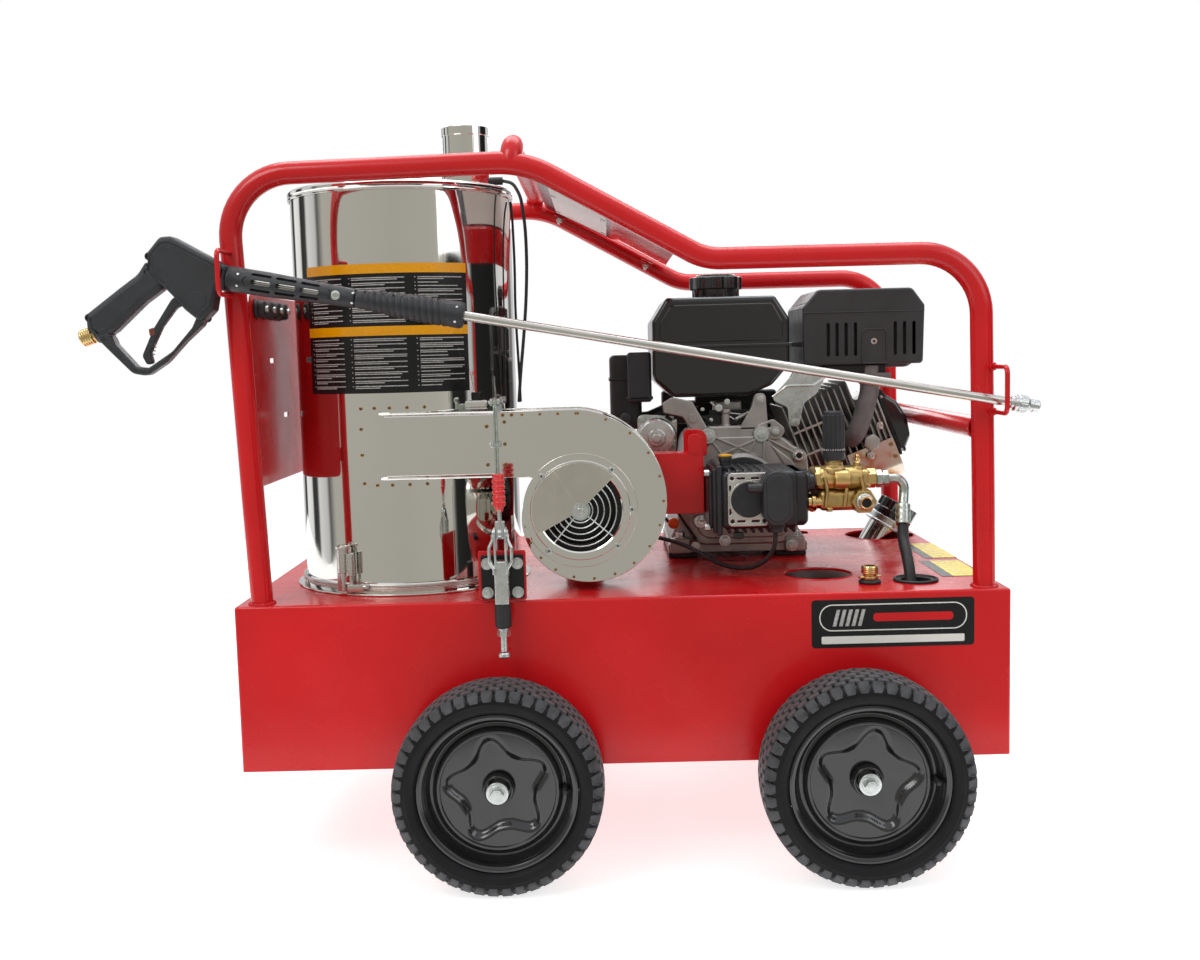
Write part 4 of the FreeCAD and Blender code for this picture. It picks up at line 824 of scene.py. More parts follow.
def drum_skin():
    shell = Shape(MIRROR)
    wall = [(158, 0.3), (184, 0.3, 0.8), (184, 3, 0.8), (172.6, 3.6), (172.6, 6, 0.5), (171.2, 7),
            (172.8, 9, 1), (172.8, 15, 1), (171.2, 17, 0.5), (170, 18), (170, 590), (168.5, 590),
            (168.5, 4), (158, 4)]
    shell.add(turned(wall, 160, True), DRUM_AXIS)
    # the lap where the sheet closes, and its folded edge
    for low, high in ((20, 296), (487, 588)):
        shell.add(drum_strip(28.5, 30.5, low, high, 170, 0.9, 4))
    # band that holds the drum down, with a flattened channel section
    shell.add(turned([(172.9, 8.2, 0.5), (176, 8.2, 1), (176, 11, 0.6), (174.6, 12), (176, 13, 0.6),
            (176, 16, 1), (172.9, 16, 0.5)], 160, True), DRUM_AXIS, SATIN_STEEL)
    # curved flange of the air duct, riveted to the drum
    shell.add(drum_strip(-17.5, 36, 158, 282, 170.1, 1.3, 30))
    for angle, z in [(-15.5, 276), (-15.8, 246), (-15.8, 208), (-15.2, 166)] + [(a, z) for a in (-8.5, -1,
            7.5, 16) for z in (276.5, 163.5)]:
        shell.add(rod(2.7, 1.6, 0.8, 14), on_drum(angle, z, 1.3), RUST_SCREW)
        shell.add(rod(1.1, 2.2, 0.2, 8), on_drum(angle, z, 1.3), BLACK_PAINT)
    shell.done("drum_skin", "base", ["drum_shell"])


def drum_cover():
    lid = Shape(MIRROR)
    top = [(0, 621), (60, 620.4), (120, 616, 40), (158, 606, 12), (166, 603.5, 3), (171, 604, 2),
            (174, 601, 1.6), (174, 597, 1), (172.6, 595), (174, 592.6, 1), (173.4, 590, 0.5), (170.5, 590),
            (170.5, 599), (160, 601), (118, 612), (0, 618)]
    lid.add(turned(top, 160), DRUM_AXIS)
    stack = [(35.5, 606), (48, 606, 1), (48, 610, 2), (38.5, 618, 5), (37, 626), (37, 696), (38.5, 698, 1),
            (38.5, 710.6, 1.2), (35.9, 711.9), (35.5, 706), (35.5, 606)]
    lid.add(turned(stack, 96), at(-230, 295, 0))
    lid.add(block(8, 1.0, 76, 0.3), at(-214, 260.6, 626) @ spun(24, "Z"))
    for i in range(10):
        turn = math.radians(18 + 36 * i)
        lid.add(rod(3.4, 2.4, 1.2, 14), at(DRUM[0] + 160 * math.sin(turn), DRUM[1] - 160 * math.cos(turn),
                604), ZINC)
    lid.done("drum_cover", "base", ["drum_lid"])


def drum_label():
    label = Shape(VINYL_GREY)
    left, right = -48, 40.5
    label.add(drum_strip(left, right, 298, 485, 170.15, 0.3, 60), finish=VINYL_BLACK)
    for low, high in ((471, 485), (381.5, 395)):
        label.add(drum_strip(left, right, low, high, 170.35, 0.3, 60), finish=VINYL_ORANGE)
    random.seed(4)
    for start, width in ((-45, 21), (-19.5, 28), (13.5, 24)):
        for first, last in ((464, 400), (376, 304)):
            z = first
            while z > last:
                lines = random.choice((1, 2, 2, 3))
                for k in range(lines):
                    reach = width * (0.95 if k < lines - 1 else random.uniform(0.4, 0.9))
                    if z > last:
                        label.add(drum_strip(start + 1.6, start + 1.6 + reach, z, z + 1.3, 170.45, 0.15,
                                12))
                        if k == 0:
                            label.add(drum_strip(start, start + 0.6, z, z + 1.3, 170.45, 0.15, 2))
                    z -= 2.6
                z -= 2.4
    label.done("drum_label", "base", sharp=30, weighted=False)


def drum_band_latch():
    latch = Shape(SATIN_STEEL)
    latch.add(block(15, 4, 62, 1.2), at(-421, 74, 6) @ spun(-30, "Z"))
    latch.add(turned([(3.4, 0), (7, 0, 1), (7, 38, 1), (3.4, 38)], 24, True), at(-411, 70, 34))
    latch.add(turned([(3.6, 0), (9, 0, 1), (9.4, 4, 1), (7, 6), (3.6, 6)], 24, True), at(-411, 70, 70))
    latch.add(rod(3.2, 70, 0.6, 16), at(-411, 70, 6), ZINC)
    latch.add(turned([(3.4, 0), (6.5, 0, 1), (6.5, 34, 1), (3.4, 34)], 24, True), at(-399, 67, 30))
    latch.add(rod(2.6, 56, 0.6, 16), at(-399, 67, 8), ZINC)
    latch.add(block(24, 12, 12, 2), at(-404, 60, 6))
    latch.add(rod(3, 26, 0.6, 16), at(-400, 64, 13, "+X"), ZINC)
    latch.add(hexagon(9, 5, 0.6), at(-377, 64, 13, "+X"), ZINC)
    latch.done("drum_band_latch", "base")


# ---------------------------------------------------------------- burner blower

BLOWER = (-57, 120)
BLOWER_FACE = 58
BLOWER_DEEP = 102


def scroll(grow=0.0, end=-332):
    small, big = 75 + grow, 146 + grow
    spots = []
    for i in range(61):
        angle = 142 + (450 - 142) * i / 60
        radius = small + (big - small) * (angle - 142) / 308
        spots.append((BLOWER[0] + radius * math.cos(math.radians(angle)),
                BLOWER[1] + radius * math.sin(math.radians(angle))))
    low = 172 - grow
    return spots + [(end, spots[-1][1]), (end, low),
            (spots[0][0] - 14, low)] + [(spots[0][0] - 14 + 14 * math.sin(t),
            low - 14 * (1 - math.cos(t)) * 0.9) for t in (0.4, 0.8, 1.2)]


def blower_casing():
    case = Shape(MIRROR)
    front = at(0, BLOWER_FACE + 1.6, 0) @ UPRIGHT
    case.add(slab(scroll(1.4, -176), 1.6, 0.7, [circle(63, *BLOWER, 72)]), front)
    case.add(slab(scroll(1.4, -176), 1.6, 0.7, [circle(14, *BLOWER, 32)]),
            at(0, BLOWER_FACE + BLOWER_DEEP, 0) @ UPRIGHT)
    inner = scroll(-1.0, -176)
    case.add(slab(scroll(0.2, -176), BLOWER_DEEP - 3.2, 0, [inner]), at(0, BLOWER_FACE + BLOWER_DEEP - 1.6,
            0) @ UPRIGHT)
    # the duct that runs left into the drum
    duct = rounded(oblong(59.4, 173.4, 158, 266.6, 5))
    hollow = rounded(oblong(60.6, 174.6, 156.8, 265.4, 4))
    run = slab(duct, 160, 0, [hollow])
    run.transform(at(-338, 0, 0) @ SIDEWAYS)
    inside = slab(circle(DRUM_R + 0.6, *DRUM, 120), 200)
    inside.transform(at(0, 0, 100))
    case.add(cut_out(run, [inside]))
    # raised edges along the duct's top and bottom, folded over
    for z in (267.4, 172.6):
        case.add(tube([(-346, 61.5, z), (-342, 59.5, z), (-178, 58.2, z)], 1.5, 10))
    # bolted joint between the duct and the scroll
    for x in (-179.2, -176.4):
        frame_loop = rounded(oblong(50, 164, 168, 276, 3))
        bore = rounded(oblong(60, 174, 158, 266, 3))
        case.add(slab(frame_loop, 2.4, 0.6, [bore]), at(x, 0, 0) @ SIDEWAYS, GALVANISED)
    for y, z in ((53, 220), (56, 281), (110, 281), (164, 281), (110, 168)):
        if z == 281:
            case.add(block(5, 12, 10, 1), at(-179, y - 6, 274), GALVANISED)
        case.add(hexagon(9, 5, 0.7), at(-174, y, z, "+X"), ZINC)
        case.add(hexagon(9, 5, 0.7), at(-179.4, y, z, "-X"), ZINC)
        case.add(rod(2.4, 16, 0.5, 12), at(-186, y, z, "+X"), ZINC)
    for x, z in ((-190, 246), (-190, 190), (-164, 252), (-164, 220), (-164, 190), (-166, 262), (-153, 262)):
        case.add(rod(2.8, 1.2, 0.5, 14), at(x, BLOWER_FACE + 0.2, z, "-Y"), RUST_SCREW)
        case.add(rod(1.1, 1.5, 0.2, 8), at(x, BLOWER_FACE + 0.2, z, "-Y"), BLACK_PAINT)
    # small screws round the edge of the front plate
    for i in range(17):
        turn = 178 + (450 - 178) * i / 16
        radius = 75 + 71 * (turn - 142) / 308 - 4
        spot = (BLOWER[0] + radius * math.cos(math.radians(turn)), BLOWER_FACE + 0.2,
                BLOWER[1] + radius * math.sin(math.radians(turn)))
        case.add(rod(2.2, 1.2, 0.5, 12), at(*spot, "-Y"), RUST_SCREW)
    for i in range(4):
        case.add(rod(2.2, 1.2, 0.5, 12), at(-60 - 26 * i, BLOWER_FACE + 0.2, 262, "-Y"), RUST_SCREW)
    # igniter box that sits on the duct beside the drum
    case.add(block(62, 44, 15, 4, 3), at(-253, 100, 268.4))
    case.add(rod(9, 8, 2), at(-238, 112, 283), BLACK_PAINT)
    case.add(rod(7, 12, 2), at(-206, 112, 283), BLACK_PAINT)
    case.done("blower_casing", "base", ["blower_housing"])


def inlet_guard():
    guard = Shape(ZINC)
    ring_face = at(BLOWER[0], BLOWER_FACE, BLOWER[1], "-Y")
    guard.add(turned([(61, 0.2), (84, 0.2, 0.3), (84, 1.6, 0.8), (73.5, 1.8, 0.4), (72.6, 2.6, 0.5),
            (63, 2.8, 0.8), (61, 1.4)], 96, True), ring_face, MIRROR)
    for radius in (18, 26, 35, 44, 53):
        guard.add(tube([(x, y, 1.4) for x, y in around(72, radius)], 1.1, 8, True), ring_face)
    for turn in (-40, 50, 140, 230):
        a = math.radians(turn)
        guard.add(tube([(8 * math.cos(a), 8 * math.sin(a), 0.4), (63 * math.cos(a), 63 * math.sin(a), 0.4)],
                1.1, 8), ring_face)
    guard.add(rod(15, 1.6, 0.5), ring_face, GALVANISED)
    for turn in (0, -45, 231, 137, 51):
        a = math.radians(turn)
        guard.add(rod(4.6, 2.6, 1, 20), ring_face @ at(75.5 * math.cos(a), 75.5 * math.sin(a), 1.4))
        guard.add(rod(1.5, 3, 0.3, 10), ring_face @ at(75.5 * math.cos(a), 75.5 * math.sin(a), 1.4),
                BLACK_PAINT)
    guard.done("inlet_guard", "base", ["blower_guard"])


def shutter_leaves():
    leaf = Shape(ZINC, at(BLOWER[0], BLOWER_FACE - 4.4, BLOWER[1]))
    for first, last, lift in ((44, 127, 0.0), (122, 208, -1.1)):
        arc = [(70.5 * math.cos(math.radians(a)), 70.5 * math.sin(math.radians(a)))
                for a in [first + (last - first) * i / 24 for i in range(25)]]
        leaf.add(slab([(0, 0)] + arc, 1.0, 0.35), at(0, lift, 0) @ UPRIGHT, SATIN_LEAF)
    leaf.add(rod(12, 1.2, 0.4), at(0, -1.8, 0, "-Y"))
    leaf.add(rod(8, 1.6, 0.6), at(0, -2.8, 0, "-Y"))
    leaf.add(turned([(0, 0), (5, 0), (5, 2.2, 1.2), (1.6, 2.4), (1.4, 1), (0, 1)], 20),
            at(0, -4.2, 0, "-Y"))
    leaf.done("shutter_leaves", "air_shutter", ["air_shutter"])


# ---------------------------------------------------------------- engine

CRANK = (206, 115)
ENGINE_Y = 330


def bore_frame(distance):
    """The frame of the cylinder: X runs out along the bore from the crank."""
    tilt = math.radians(21)
    return at(CRANK[0] + distance * math.cos(tilt), ENGINE_Y + 120,
            CRANK[1] + distance * math.sin(tilt)) @ (Matrix.Rotation(-tilt, 4, "Y"))


def crankcase_casting():
    case = Shape(CAST)
    case.plate([(86, 9, 6), (316, 9, 6), (312, 34, 8), (296, 62, 20), (300, 200, 30), (120, 215, 30),
            (100, 62, 20), (88, 34, 8)], 213, 346, 4)
    case.add(rod(95, 4, 1), at(CRANK[0], 557, CRANK[1] + 8, "+Y"))
    # the mounting foot with its chamfered ends
    case.plate([(84, 8.2, 2), (318, 8.2, 2), (318, 26, 6), (84, 26, 6)], 205, 338, 2)
    for x in (104, 296):
        case.add(block(34, 28, 26, 4), at(x - 17, 326, 8.4))
    case.done("crankcase_casting", "base", ["crankcase"], 34)


def crankcase_front():
    cover = Shape(CAST)
    outline = [(122, 22, 30), (290, 22, 30), (324, 110, 34), (318, 176, 14), (296, 186, 10), (256, 216, 16),
            (236, 222, 14), (150, 222, 16), (132, 200, 20), (108, 120, 40)]
    cover.plate(outline, 15, ENGINE_Y, 3.5)
    raised = [(134, 34, 24), (280, 34, 24), (308, 108, 30), (296, 160, 20), (240, 204, 14), (158, 204, 14),
            (124, 120, 36)]
    cover.plate(raised, 6, ENGINE_Y - 6, 2.5)
    cover.add(turned([(0, 0), (66, 0, 3), (62, 14, 3), (50, 30, 6), (50, 40, 2), (0, 40)], 64),
            at(CRANK[0], ENGINE_Y, CRANK[1], "-Y"))
    # ribs that spread from the bolt bosses
    for a, b, high in (((158, 198), (186, 160), 9), ((160, 206), (232, 172), 9),
            ((236, 206), (212, 160), 9), ((236, 200), (168, 172), 9), ((246, 204), (244, 160), 9),
            ((250, 200), (300, 172), 6), ((252, 196), (296, 130), 6), ((126, 74), (160, 96), 6),
            ((276, 68), (248, 90), 6), ((116, 130), (150, 122), 6), ((206, 30), (206, 60), 5)):
        long = math.dist(a, b)
        turn = math.atan2(b[1] - a[1], b[0] - a[0])
        rib = at(a[0], ENGINE_Y - high, a[1]) @ Matrix.Rotation(-turn, 4, "Y") @ at(0, 0, -2)
        cover.add(block(long, high, 4, 1.2), rib)
    for x, z, radius, deep in ((153, 206, 13, 10), (241, 207, 13, 10), (303, 170, 10, 10), (138, 64, 12, 8),
            (275, 60, 12, 8), (265, 211, 8, 8)):
        cover.add(turned([(0, 0), (radius + 2, 0, 1), (radius, deep, 1.5), (0, deep)], 32),
                at(x, ENGINE_Y + 1, z, "-Y"))
    cover.add(rod(4.4, 0.6, 0.1, 20), at(303, ENGINE_Y - 9, 170, "-Y"), BLACK_PAINT)
    cover.add(bead(6.4, 1.2, 0, 32), at(303, ENGINE_Y - 9.4, 170, "-Y"), MACHINED)
    # arms that carry the tank, with a round pad
    cover.plate([(78, 262, 3), (94, 272, 4), (128, 264, 8), (160, 206, 6), (158, 190), (140, 192),
            (112, 238, 8), (80, 246, 3)], 12, ENGINE_Y, 2)
    cover.add(turned([(0, 0), (8, 0, 0.8), (8, 1.4, 0.6), (0, 1.4)], 24), at(129, ENGINE_Y, 236, "-Y"))
    cover.plate([(204, 214), (226, 252, 8), (232, 274, 8), (250, 276, 8), (254, 214)], 12, ENGINE_Y, 2)
    cover.bolt(241, ENGINE_Y, 266, "-Y", 8, 6.5, 4)
    # eyelet casting at the right of the upper bosses
    cover.plate([(232, 222, 6), (262, 232, 8), (284, 214, 10), (270, 196, 8), (240, 200, 8)], 8,
            ENGINE_Y - 6, 2, [circle(3.4, 254, 221, 16)])
    cover.done("crankcase_front", "base", ["crankcase_cover"], 36)


def finned_cylinder():
    barrel = Shape(CAST, bore_frame(196))
    barrel.add(rod(50, 134, 1), at(-83, 0, 0, "+X"))
    for i in range(11):
        x = -78 + 11.4 * i
        low = -80 + (6 if i < 2 else 0)
        top = 98
        fin = [(-84, low, 12), (84, low, 12), (84, top, 10), (-84, top, 10)]
        barrel.add(slab(rounded(fin), 2.6, 0.7, (), 1), at(x, 0, 0) @ SIDEWAYS)
    for i in range(4):
        fin = oblong(-83, -76, 83, 52, 10)
        barrel.add(slab(rounded(fin), 3, 0.8, (), 1), at(49 + 8.4 * i, 0, 0) @ SIDEWAYS)
    barrel.add(block(30, 128, 120, 3), at(47, -64, -60))
    barrel.add(block(5, 150, 122, 2), at(74.6, -75, -61), SATIN_STEEL)
    # the fins' webs, as the casting shows on its front side
    for z in (-44, 4, 46):
        barrel.add(block(74, 5, 4, 1), at(-76, -86, z))
    # studs of the exhaust flange and the head
    barrel.add(turned([(0, 0), (15, 0, 2), (15, 10, 2), (11, 12), (0, 12)], 6), at(40, -88, -14, "-Y"))
    for x, z in ((62, 8), (30, -34)):
        barrel.add(hexagon(12, 8, 0.8), at(x, -92, z, "-Y"), SATIN_STEEL)
        barrel.add(rod(4, 14, 0.8, 16), at(x, -92, z, "-Y"), SATIN_STEEL)
    # spark plug and its boot, seen over the head
    barrel.add(rod(7, 30, 2), at(70, -50, 40) @ Matrix.Rotation(0.9, 4, "Y"), PLASTIC)
    barrel.done("finned_cylinder", "base", ["cylinder_block"], 34)


def lower_shroud():
    shroud = Shape(HEAT, bore_frame(196))
    outer = rounded([(-88, -20), (-88, -88, 26), (70, -88)], 8, closed=False)
    inner = rounded([(70, -86.4), (-86.4, -86.4, 24.4), (-86.4, -20)], 8, closed=False)
    shroud.add(slab(outer + inner, 83, 0.4), at(-6, 0, 0) @ SIDEWAYS)
    for y, z in ((-88.4, -30), (-88.4, -52)):
        shroud.add(rod(3.6, 2, 0.8, 16), at(70, y, z, "-Y"), RUST_SCREW)
    shroud.done("lower_shroud", "base", sharp=34)


def rocker_cover():
    cap = Shape(BLACK_PAINT, bore_frame(276.3))
    cap.add(block(5, 146, 112, 2, 2), at(0.2, -73, -56))
    side = rounded([(2, -52, 6), (2, 52, 6), (14, 52, 12), (30, 30, 18), (36, 0, 30), (30, -32, 18),
            (12, -52, 10)], 5)
    cap.add(slab(side, 136, 7, (), 4), at(0, 68, 0) @ UPRIGHT, ENAMEL)
    for y, z in ((-66, -49), (66, -49), (-66, 49), (66, 49)):
        cap.add(hexagon(8, 6, 0.6), at(5.2, y, z, "+X"), ZINC)
        cap.add(turned([(0, 0), (4.6, 0, 0.6), (4.6, 4, 2.2), (0, 6)], 16), at(9, y, z, "+X"))
    cap.done("rocker_cover", "base", ["valve_cover"], 34)


def fuel_tank_shell():
    tank = Shape(GLOSS_PLASTIC)
    outline = [(64, 302, 22), (64, 398, 8), (88, 436, 8), (268, 436, 8), (292, 398, 8), (292, 322, 16),
            (262, 288, 20), (220, 271, 18), (96, 271, 22)]
    tank.plate(outline, 225, 333, 8, (), 5)
    upper = [(76, 362, 10), (76, 394, 10), (96, 424, 8), (264, 424, 8), (280, 394, 8), (280, 362, 10)]
    tank.plate(upper, 6, 331.6, 2.4, (), 3)
    tank.plate(oblong(61, 352, 296, 357.5, 2), 232, 330, 1.6)
    tank.add(turned([(0, 0), (33, 0, 3), (31, 8, 1), (31, 11.6, 1), (0, 11.6)], 48), at(179, 436, 434.4),
            BLACK_PAINT)
    tank.add(block(26, 16, 8, 2), at(290, 360, 350), PLASTIC)
    tank.done("fuel_tank_shell", "base", ["engine_fuel_tank"], 30)


def lobed_fuel_cap():
    fuel_cap = Shape(GLOSS_PLASTIC, at(179, 436, 436.4))
    fuel_cap.add(slab(lobed(8, 43.2, 2.0, 2.2, 160), 22, 2.5, (), 3), at(0, 0, 15))
    fuel_cap.add(turned([(31.6, 0), (38, 0, 1), (39.5, 16, 1), (31.6, 16)], 64, True))
    for x, y in around(16, 38.4):
        fuel_cap.add(rod(2.2, 14, 0.6, 10), at(x, y, 1.4))
    fuel_cap.add(turned([(0, 36), (34, 36.6, 2), (33, 41, 2.5), (12, 41.6), (0, 41)], 48))
    fuel_cap.done("lobed_fuel_cap", "fuel_cap", ["engine_fuel_cap"], 34)


def muffler_hood():
    guard = Shape(GRILLE_BLACK)
    outline = [(314, 318, 6), (512, 318, 6), (515, 414, 6), (494, 443, 12), (338, 443, 12), (313, 414, 6)]
    shell = slab(rounded(outline), 175, 4, (), 4)
    shell.transform(at(0, ENGINE_Y + 176, 0) @ UPRIGHT)
    tools = [block(189, 162, 112, 1)]
    tools[0].transform(at(319, ENGINE_Y + 5, 310))
    for x in (355, 369.5, 384.5, 400, 465.7, 481, 496.7):
        hole = slab(rounded(oblong(x - 2.8, 332.8, x + 2.8, 387.8, 2.7)), 40)
        hole.transform(at(0, ENGINE_Y + 15, 0) @ UPRIGHT)
        tools.append(hole)
    dent = slab(rounded([(411.8, 300), (450.3, 300), (450.3, 375.5, 7), (411.8, 375.5, 7)]), 12)
    dent.transform(at(0, ENGINE_Y + 3.5, 0) @ UPRIGHT)
    guard.add(cut_out(shell, tools))
    # raised line round the hood, and the dished screw pocket
    guard.plate(oblong(314, 404, 514, 406.2), 177, ENGINE_Y - 0.4, 0.8)
    guard.plate([(409.6, 319, 3), (452.5, 319, 3), (452.5, 377.6, 9), (409.6, 377.6, 9)], 2.4,
            ENGINE_Y - 0.6, 1.1, [rounded([(412.4, 322, 3), (449.7, 322, 3), (449.7, 374.8, 6),
            (412.4, 374.8, 6)])])
    guard.add(rod(5.8, 2.6, 1, 20), at(430.6, ENGINE_Y + 3.5, 356.2, "-Y"), SATIN_STEEL)
    guard.add(rod(2.4, 3.0, 0.3, 6), at(430.6, ENGINE_Y + 3.5, 356.2, "-Y"), BLACK_PAINT)
    guard.done("muffler_hood", "base", ["muffler_guard"], 32)


def exhaust():
    muffler = Shape(RUSTY_CAST)
    muffler.add(block(181, 148, 108, 18, 5), at(324, ENGINE_Y + 16, 312), GRILLE_BLACK)
    pipe = bent([(428, 349, 316), (426, 349, 270), (412, 349, 222), (403, 353, 200), (399, 372, 192)],
            [80, 40, 16], 10)
    muffler.add(tube(pipe, 15.9, 28))
    muffler.add(tube([(427.6, 349, 300), (426.6, 349, 284)], 17.6, 28))
    muffler.add(block(62, 44, 10, 2.5), at(398, 334, 294))
    muffler.add(block(100, 110, 14, 2), at(352, 338, 304), BLACK_PAINT)
    muffler.done("exhaust", "base", ["muffler"], 34)


def air_box():
    cleaner = Shape(PLASTIC)
    cleaner.add(block(54, 148, 128, 9, 4), at(-8, 393, 216))
    cleaner.add(block(40, 40, 84, 5, 3), at(22, 352, 264))
    cleaner.add(block(44, 40, 6, 2), at(20, 352, 268))
    cleaner.add(block(58, 152, 4, 1.5), at(-10, 391, 300))
    cleaner.add(turned([(0, 0), (9, 0, 2), (9, 20, 3), (0, 20)], 24), at(18, 378, 238, "-Y"))
    cleaner.add(tube(bent([(40, 440, 230), (60, 420, 232), (100, 410, 250)], [18], 8), 14, 20))
    cleaner.done("air_box", "base", ["air_cleaner"], 34)


def recoil_cover():
    recoil = Shape(BLACK_PAINT)
    housing = [(0, 0), (124, 0, 6), (128, 14, 10), (118, 32, 8), (72, 37.6, 4), (66, 34, 2), (30, 34, 2),
            (26, 37.6, 2), (0, 37.6)]
    recoil.add(turned(housing, 96, arc=4), at(CRANK[0], 562, CRANK[1] + 18, "+Y"))
    for i in range(22):
        turn = 2 * math.pi * i / 22
        spoke = at(CRANK[0], 596, CRANK[1] + 18, "+Y") @ Matrix.Rotation(turn, 4, "Z") @ at(76, -1.5, -3)
        recoil.add(block(34, 3, 4, 1), spoke)
    recoil.add(block(150, 30, 60, 7, 4), at(150, 564, 214))
    recoil.add(rod(11, 50, 2), at(160, 580, 246, "-X"))
    for dx, dz in around(6, 112):
        recoil.bolt(CRANK[0] + dx, 594, CRANK[1] + 18 + dz, "+Y", 8, 7, 4)
    recoil.done("recoil_cover", "base", ["recoil_housing"], 34)


def pull_handle():
    pull = Shape(PLASTIC)
    pull.add(block(22, 22, 60, 6, 4), at(87.6, 569, 216))
    pull.add(rod(7, 6, 1.5), at(104, 580, 246, "+X"))
    pull.done("pull_handle", "recoil_handle", ["recoil_handle"], 34)


def starter_can():
    starter = Shape(ZINC)
    can = [(0, 0), (7, 0, 1), (8, 1.4), (14, 1.6, 0.8), (15, 3.2, 0.8), (29, 3.4, 2), (32.6, 6, 2),
            (33, 9, 1), (34, 10, 1), (34, 50), (28, 56), (0, 56)]
    starter.add(turned(can, 64), at(68, ENGINE_Y + 2, 204, "+Y"))
    ears = rounded([(38, 172, 10), (100, 172, 10), (104, 240, 10), (36, 244, 10)])
    starter.add(slab(ears, 3, 1), at(0, ENGINE_Y + 20, 0) @ UPRIGHT, GALVANISED)
    for x, z in ((44, 236), (98, 232), (42, 178)):
        starter.add(hexagon(8, 5, 0.6), at(x, ENGINE_Y + 17, z, "-Y"))
    starter.add(turned([(0, 0), (16, 0, 2), (17, 34, 1), (0, 34)], 32), at(34, ENGINE_Y + 22, 180, "+Y"))
    starter.add(rod(4, 8, 1, 16), at(34, ENGINE_Y + 22, 184, "-Y"), BRASS_TURNED)
    starter.done("starter_can", "base", ["starter_motor"], 34)


def heat_deflector():
    shield = Shape(ZINC)
    shield.plate([(258, 264, 8), (300, 309, 10), (356, 309, 8), (336, 272, 12), (314, 256, 10),
            (306, 218, 6), (290, 218, 6), (287, 250, 8)], 1.8, ENGINE_Y + 6, 0.7)
    shield.add(block(62, 40, 2, 0.8), at(296, ENGINE_Y + 7, 307) @ Matrix.Rotation(-0.25, 4, "X"))
    shield.bolt(299, ENGINE_Y + 5.6, 225, "-Y", 8, 6.5, 4)
    shield.add(tube(bent([(262, 336, 268), (286, 333, 286), (330, 334, 286), (352, 338, 300)], [12, 12], 6),
            2.2, 10))
    shield.done("heat_deflector", "base", ["heat_shield"], 34)


def carburettor_and_links():
    # carburettor, governor lever, links and springs between the tank and the covers
    linkage = Shape(ZINC)
    linkage.add(block(46, 44, 40, 4, 3), at(168, 372, 222), CAST)
    linkage.add(turned([(0, 0), (14, 0, 2), (13, 18, 3), (0, 18)], 24), at(196, 392, 222, "-Z"), CAST)
    linkage.add(turned([(0, 0), (10, 0, 2), (10, 6), (7, 9), (7, 26, 2), (9, 28), (9, 34, 1), (0, 34)], 24),
            at(184, 342, 216), CAST)
    linkage.add(turned([(0, 0), (6.5, 0, 1), (6.5, 8, 1.4), (0, 8)], 20), at(172, 338, 252, "-Y"))
    linkage.add(turned([(0, 0), (5, 0, 1), (5, 6, 1), (0, 6)], 20), at(186, 336, 262, "-Y"))
    linkage.add(block(70, 3, 10, 1), at(158, 352, 238), BLACK_PAINT)
    linkage.add(block(84, 2.4, 16, 1), at(150, 346, 224), BLACK_PAINT)
    linkage.add(coil(3.2, 0.7, 1.7, 18), at(200, 340, 232) @ spun(64, "Y"))
    linkage.add(tube([(176, 340, 246), (200, 340, 231)], 1.2, 8))
    linkage.add(tube([(226, 340, 246), (252, 341, 262)], 1.2, 8))
    linkage.add(tube(bent([(160, 344, 262), (178, 341, 244), (214, 341, 240)], [10], 6), 1.3, 8))
    linkage.add(tube(bent([(118, 350, 258), (126, 344, 240), (150, 342, 236), (164, 344, 222)], [10, 8], 6),
            2.6, 10), finish=RUBBER)
    linkage.add(tube(bent([(96, 352, 262), (104, 346, 246), (98, 344, 230), (84, 346, 240)], [7, 6], 6), 3,
            10), finish=RUBBER)
    linkage.add(block(30, 20, 24, 3), at(100, 350, 226), BLACK_PAINT)
    for x, z in ((112, 244), (124, 228), (146, 250), (160, 232)):
        linkage.add(rod(3.4, 8, 1, 14), at(x, 350, z, "-Y"))
    linkage.done("carburettor_and_links", "base", sharp=34)


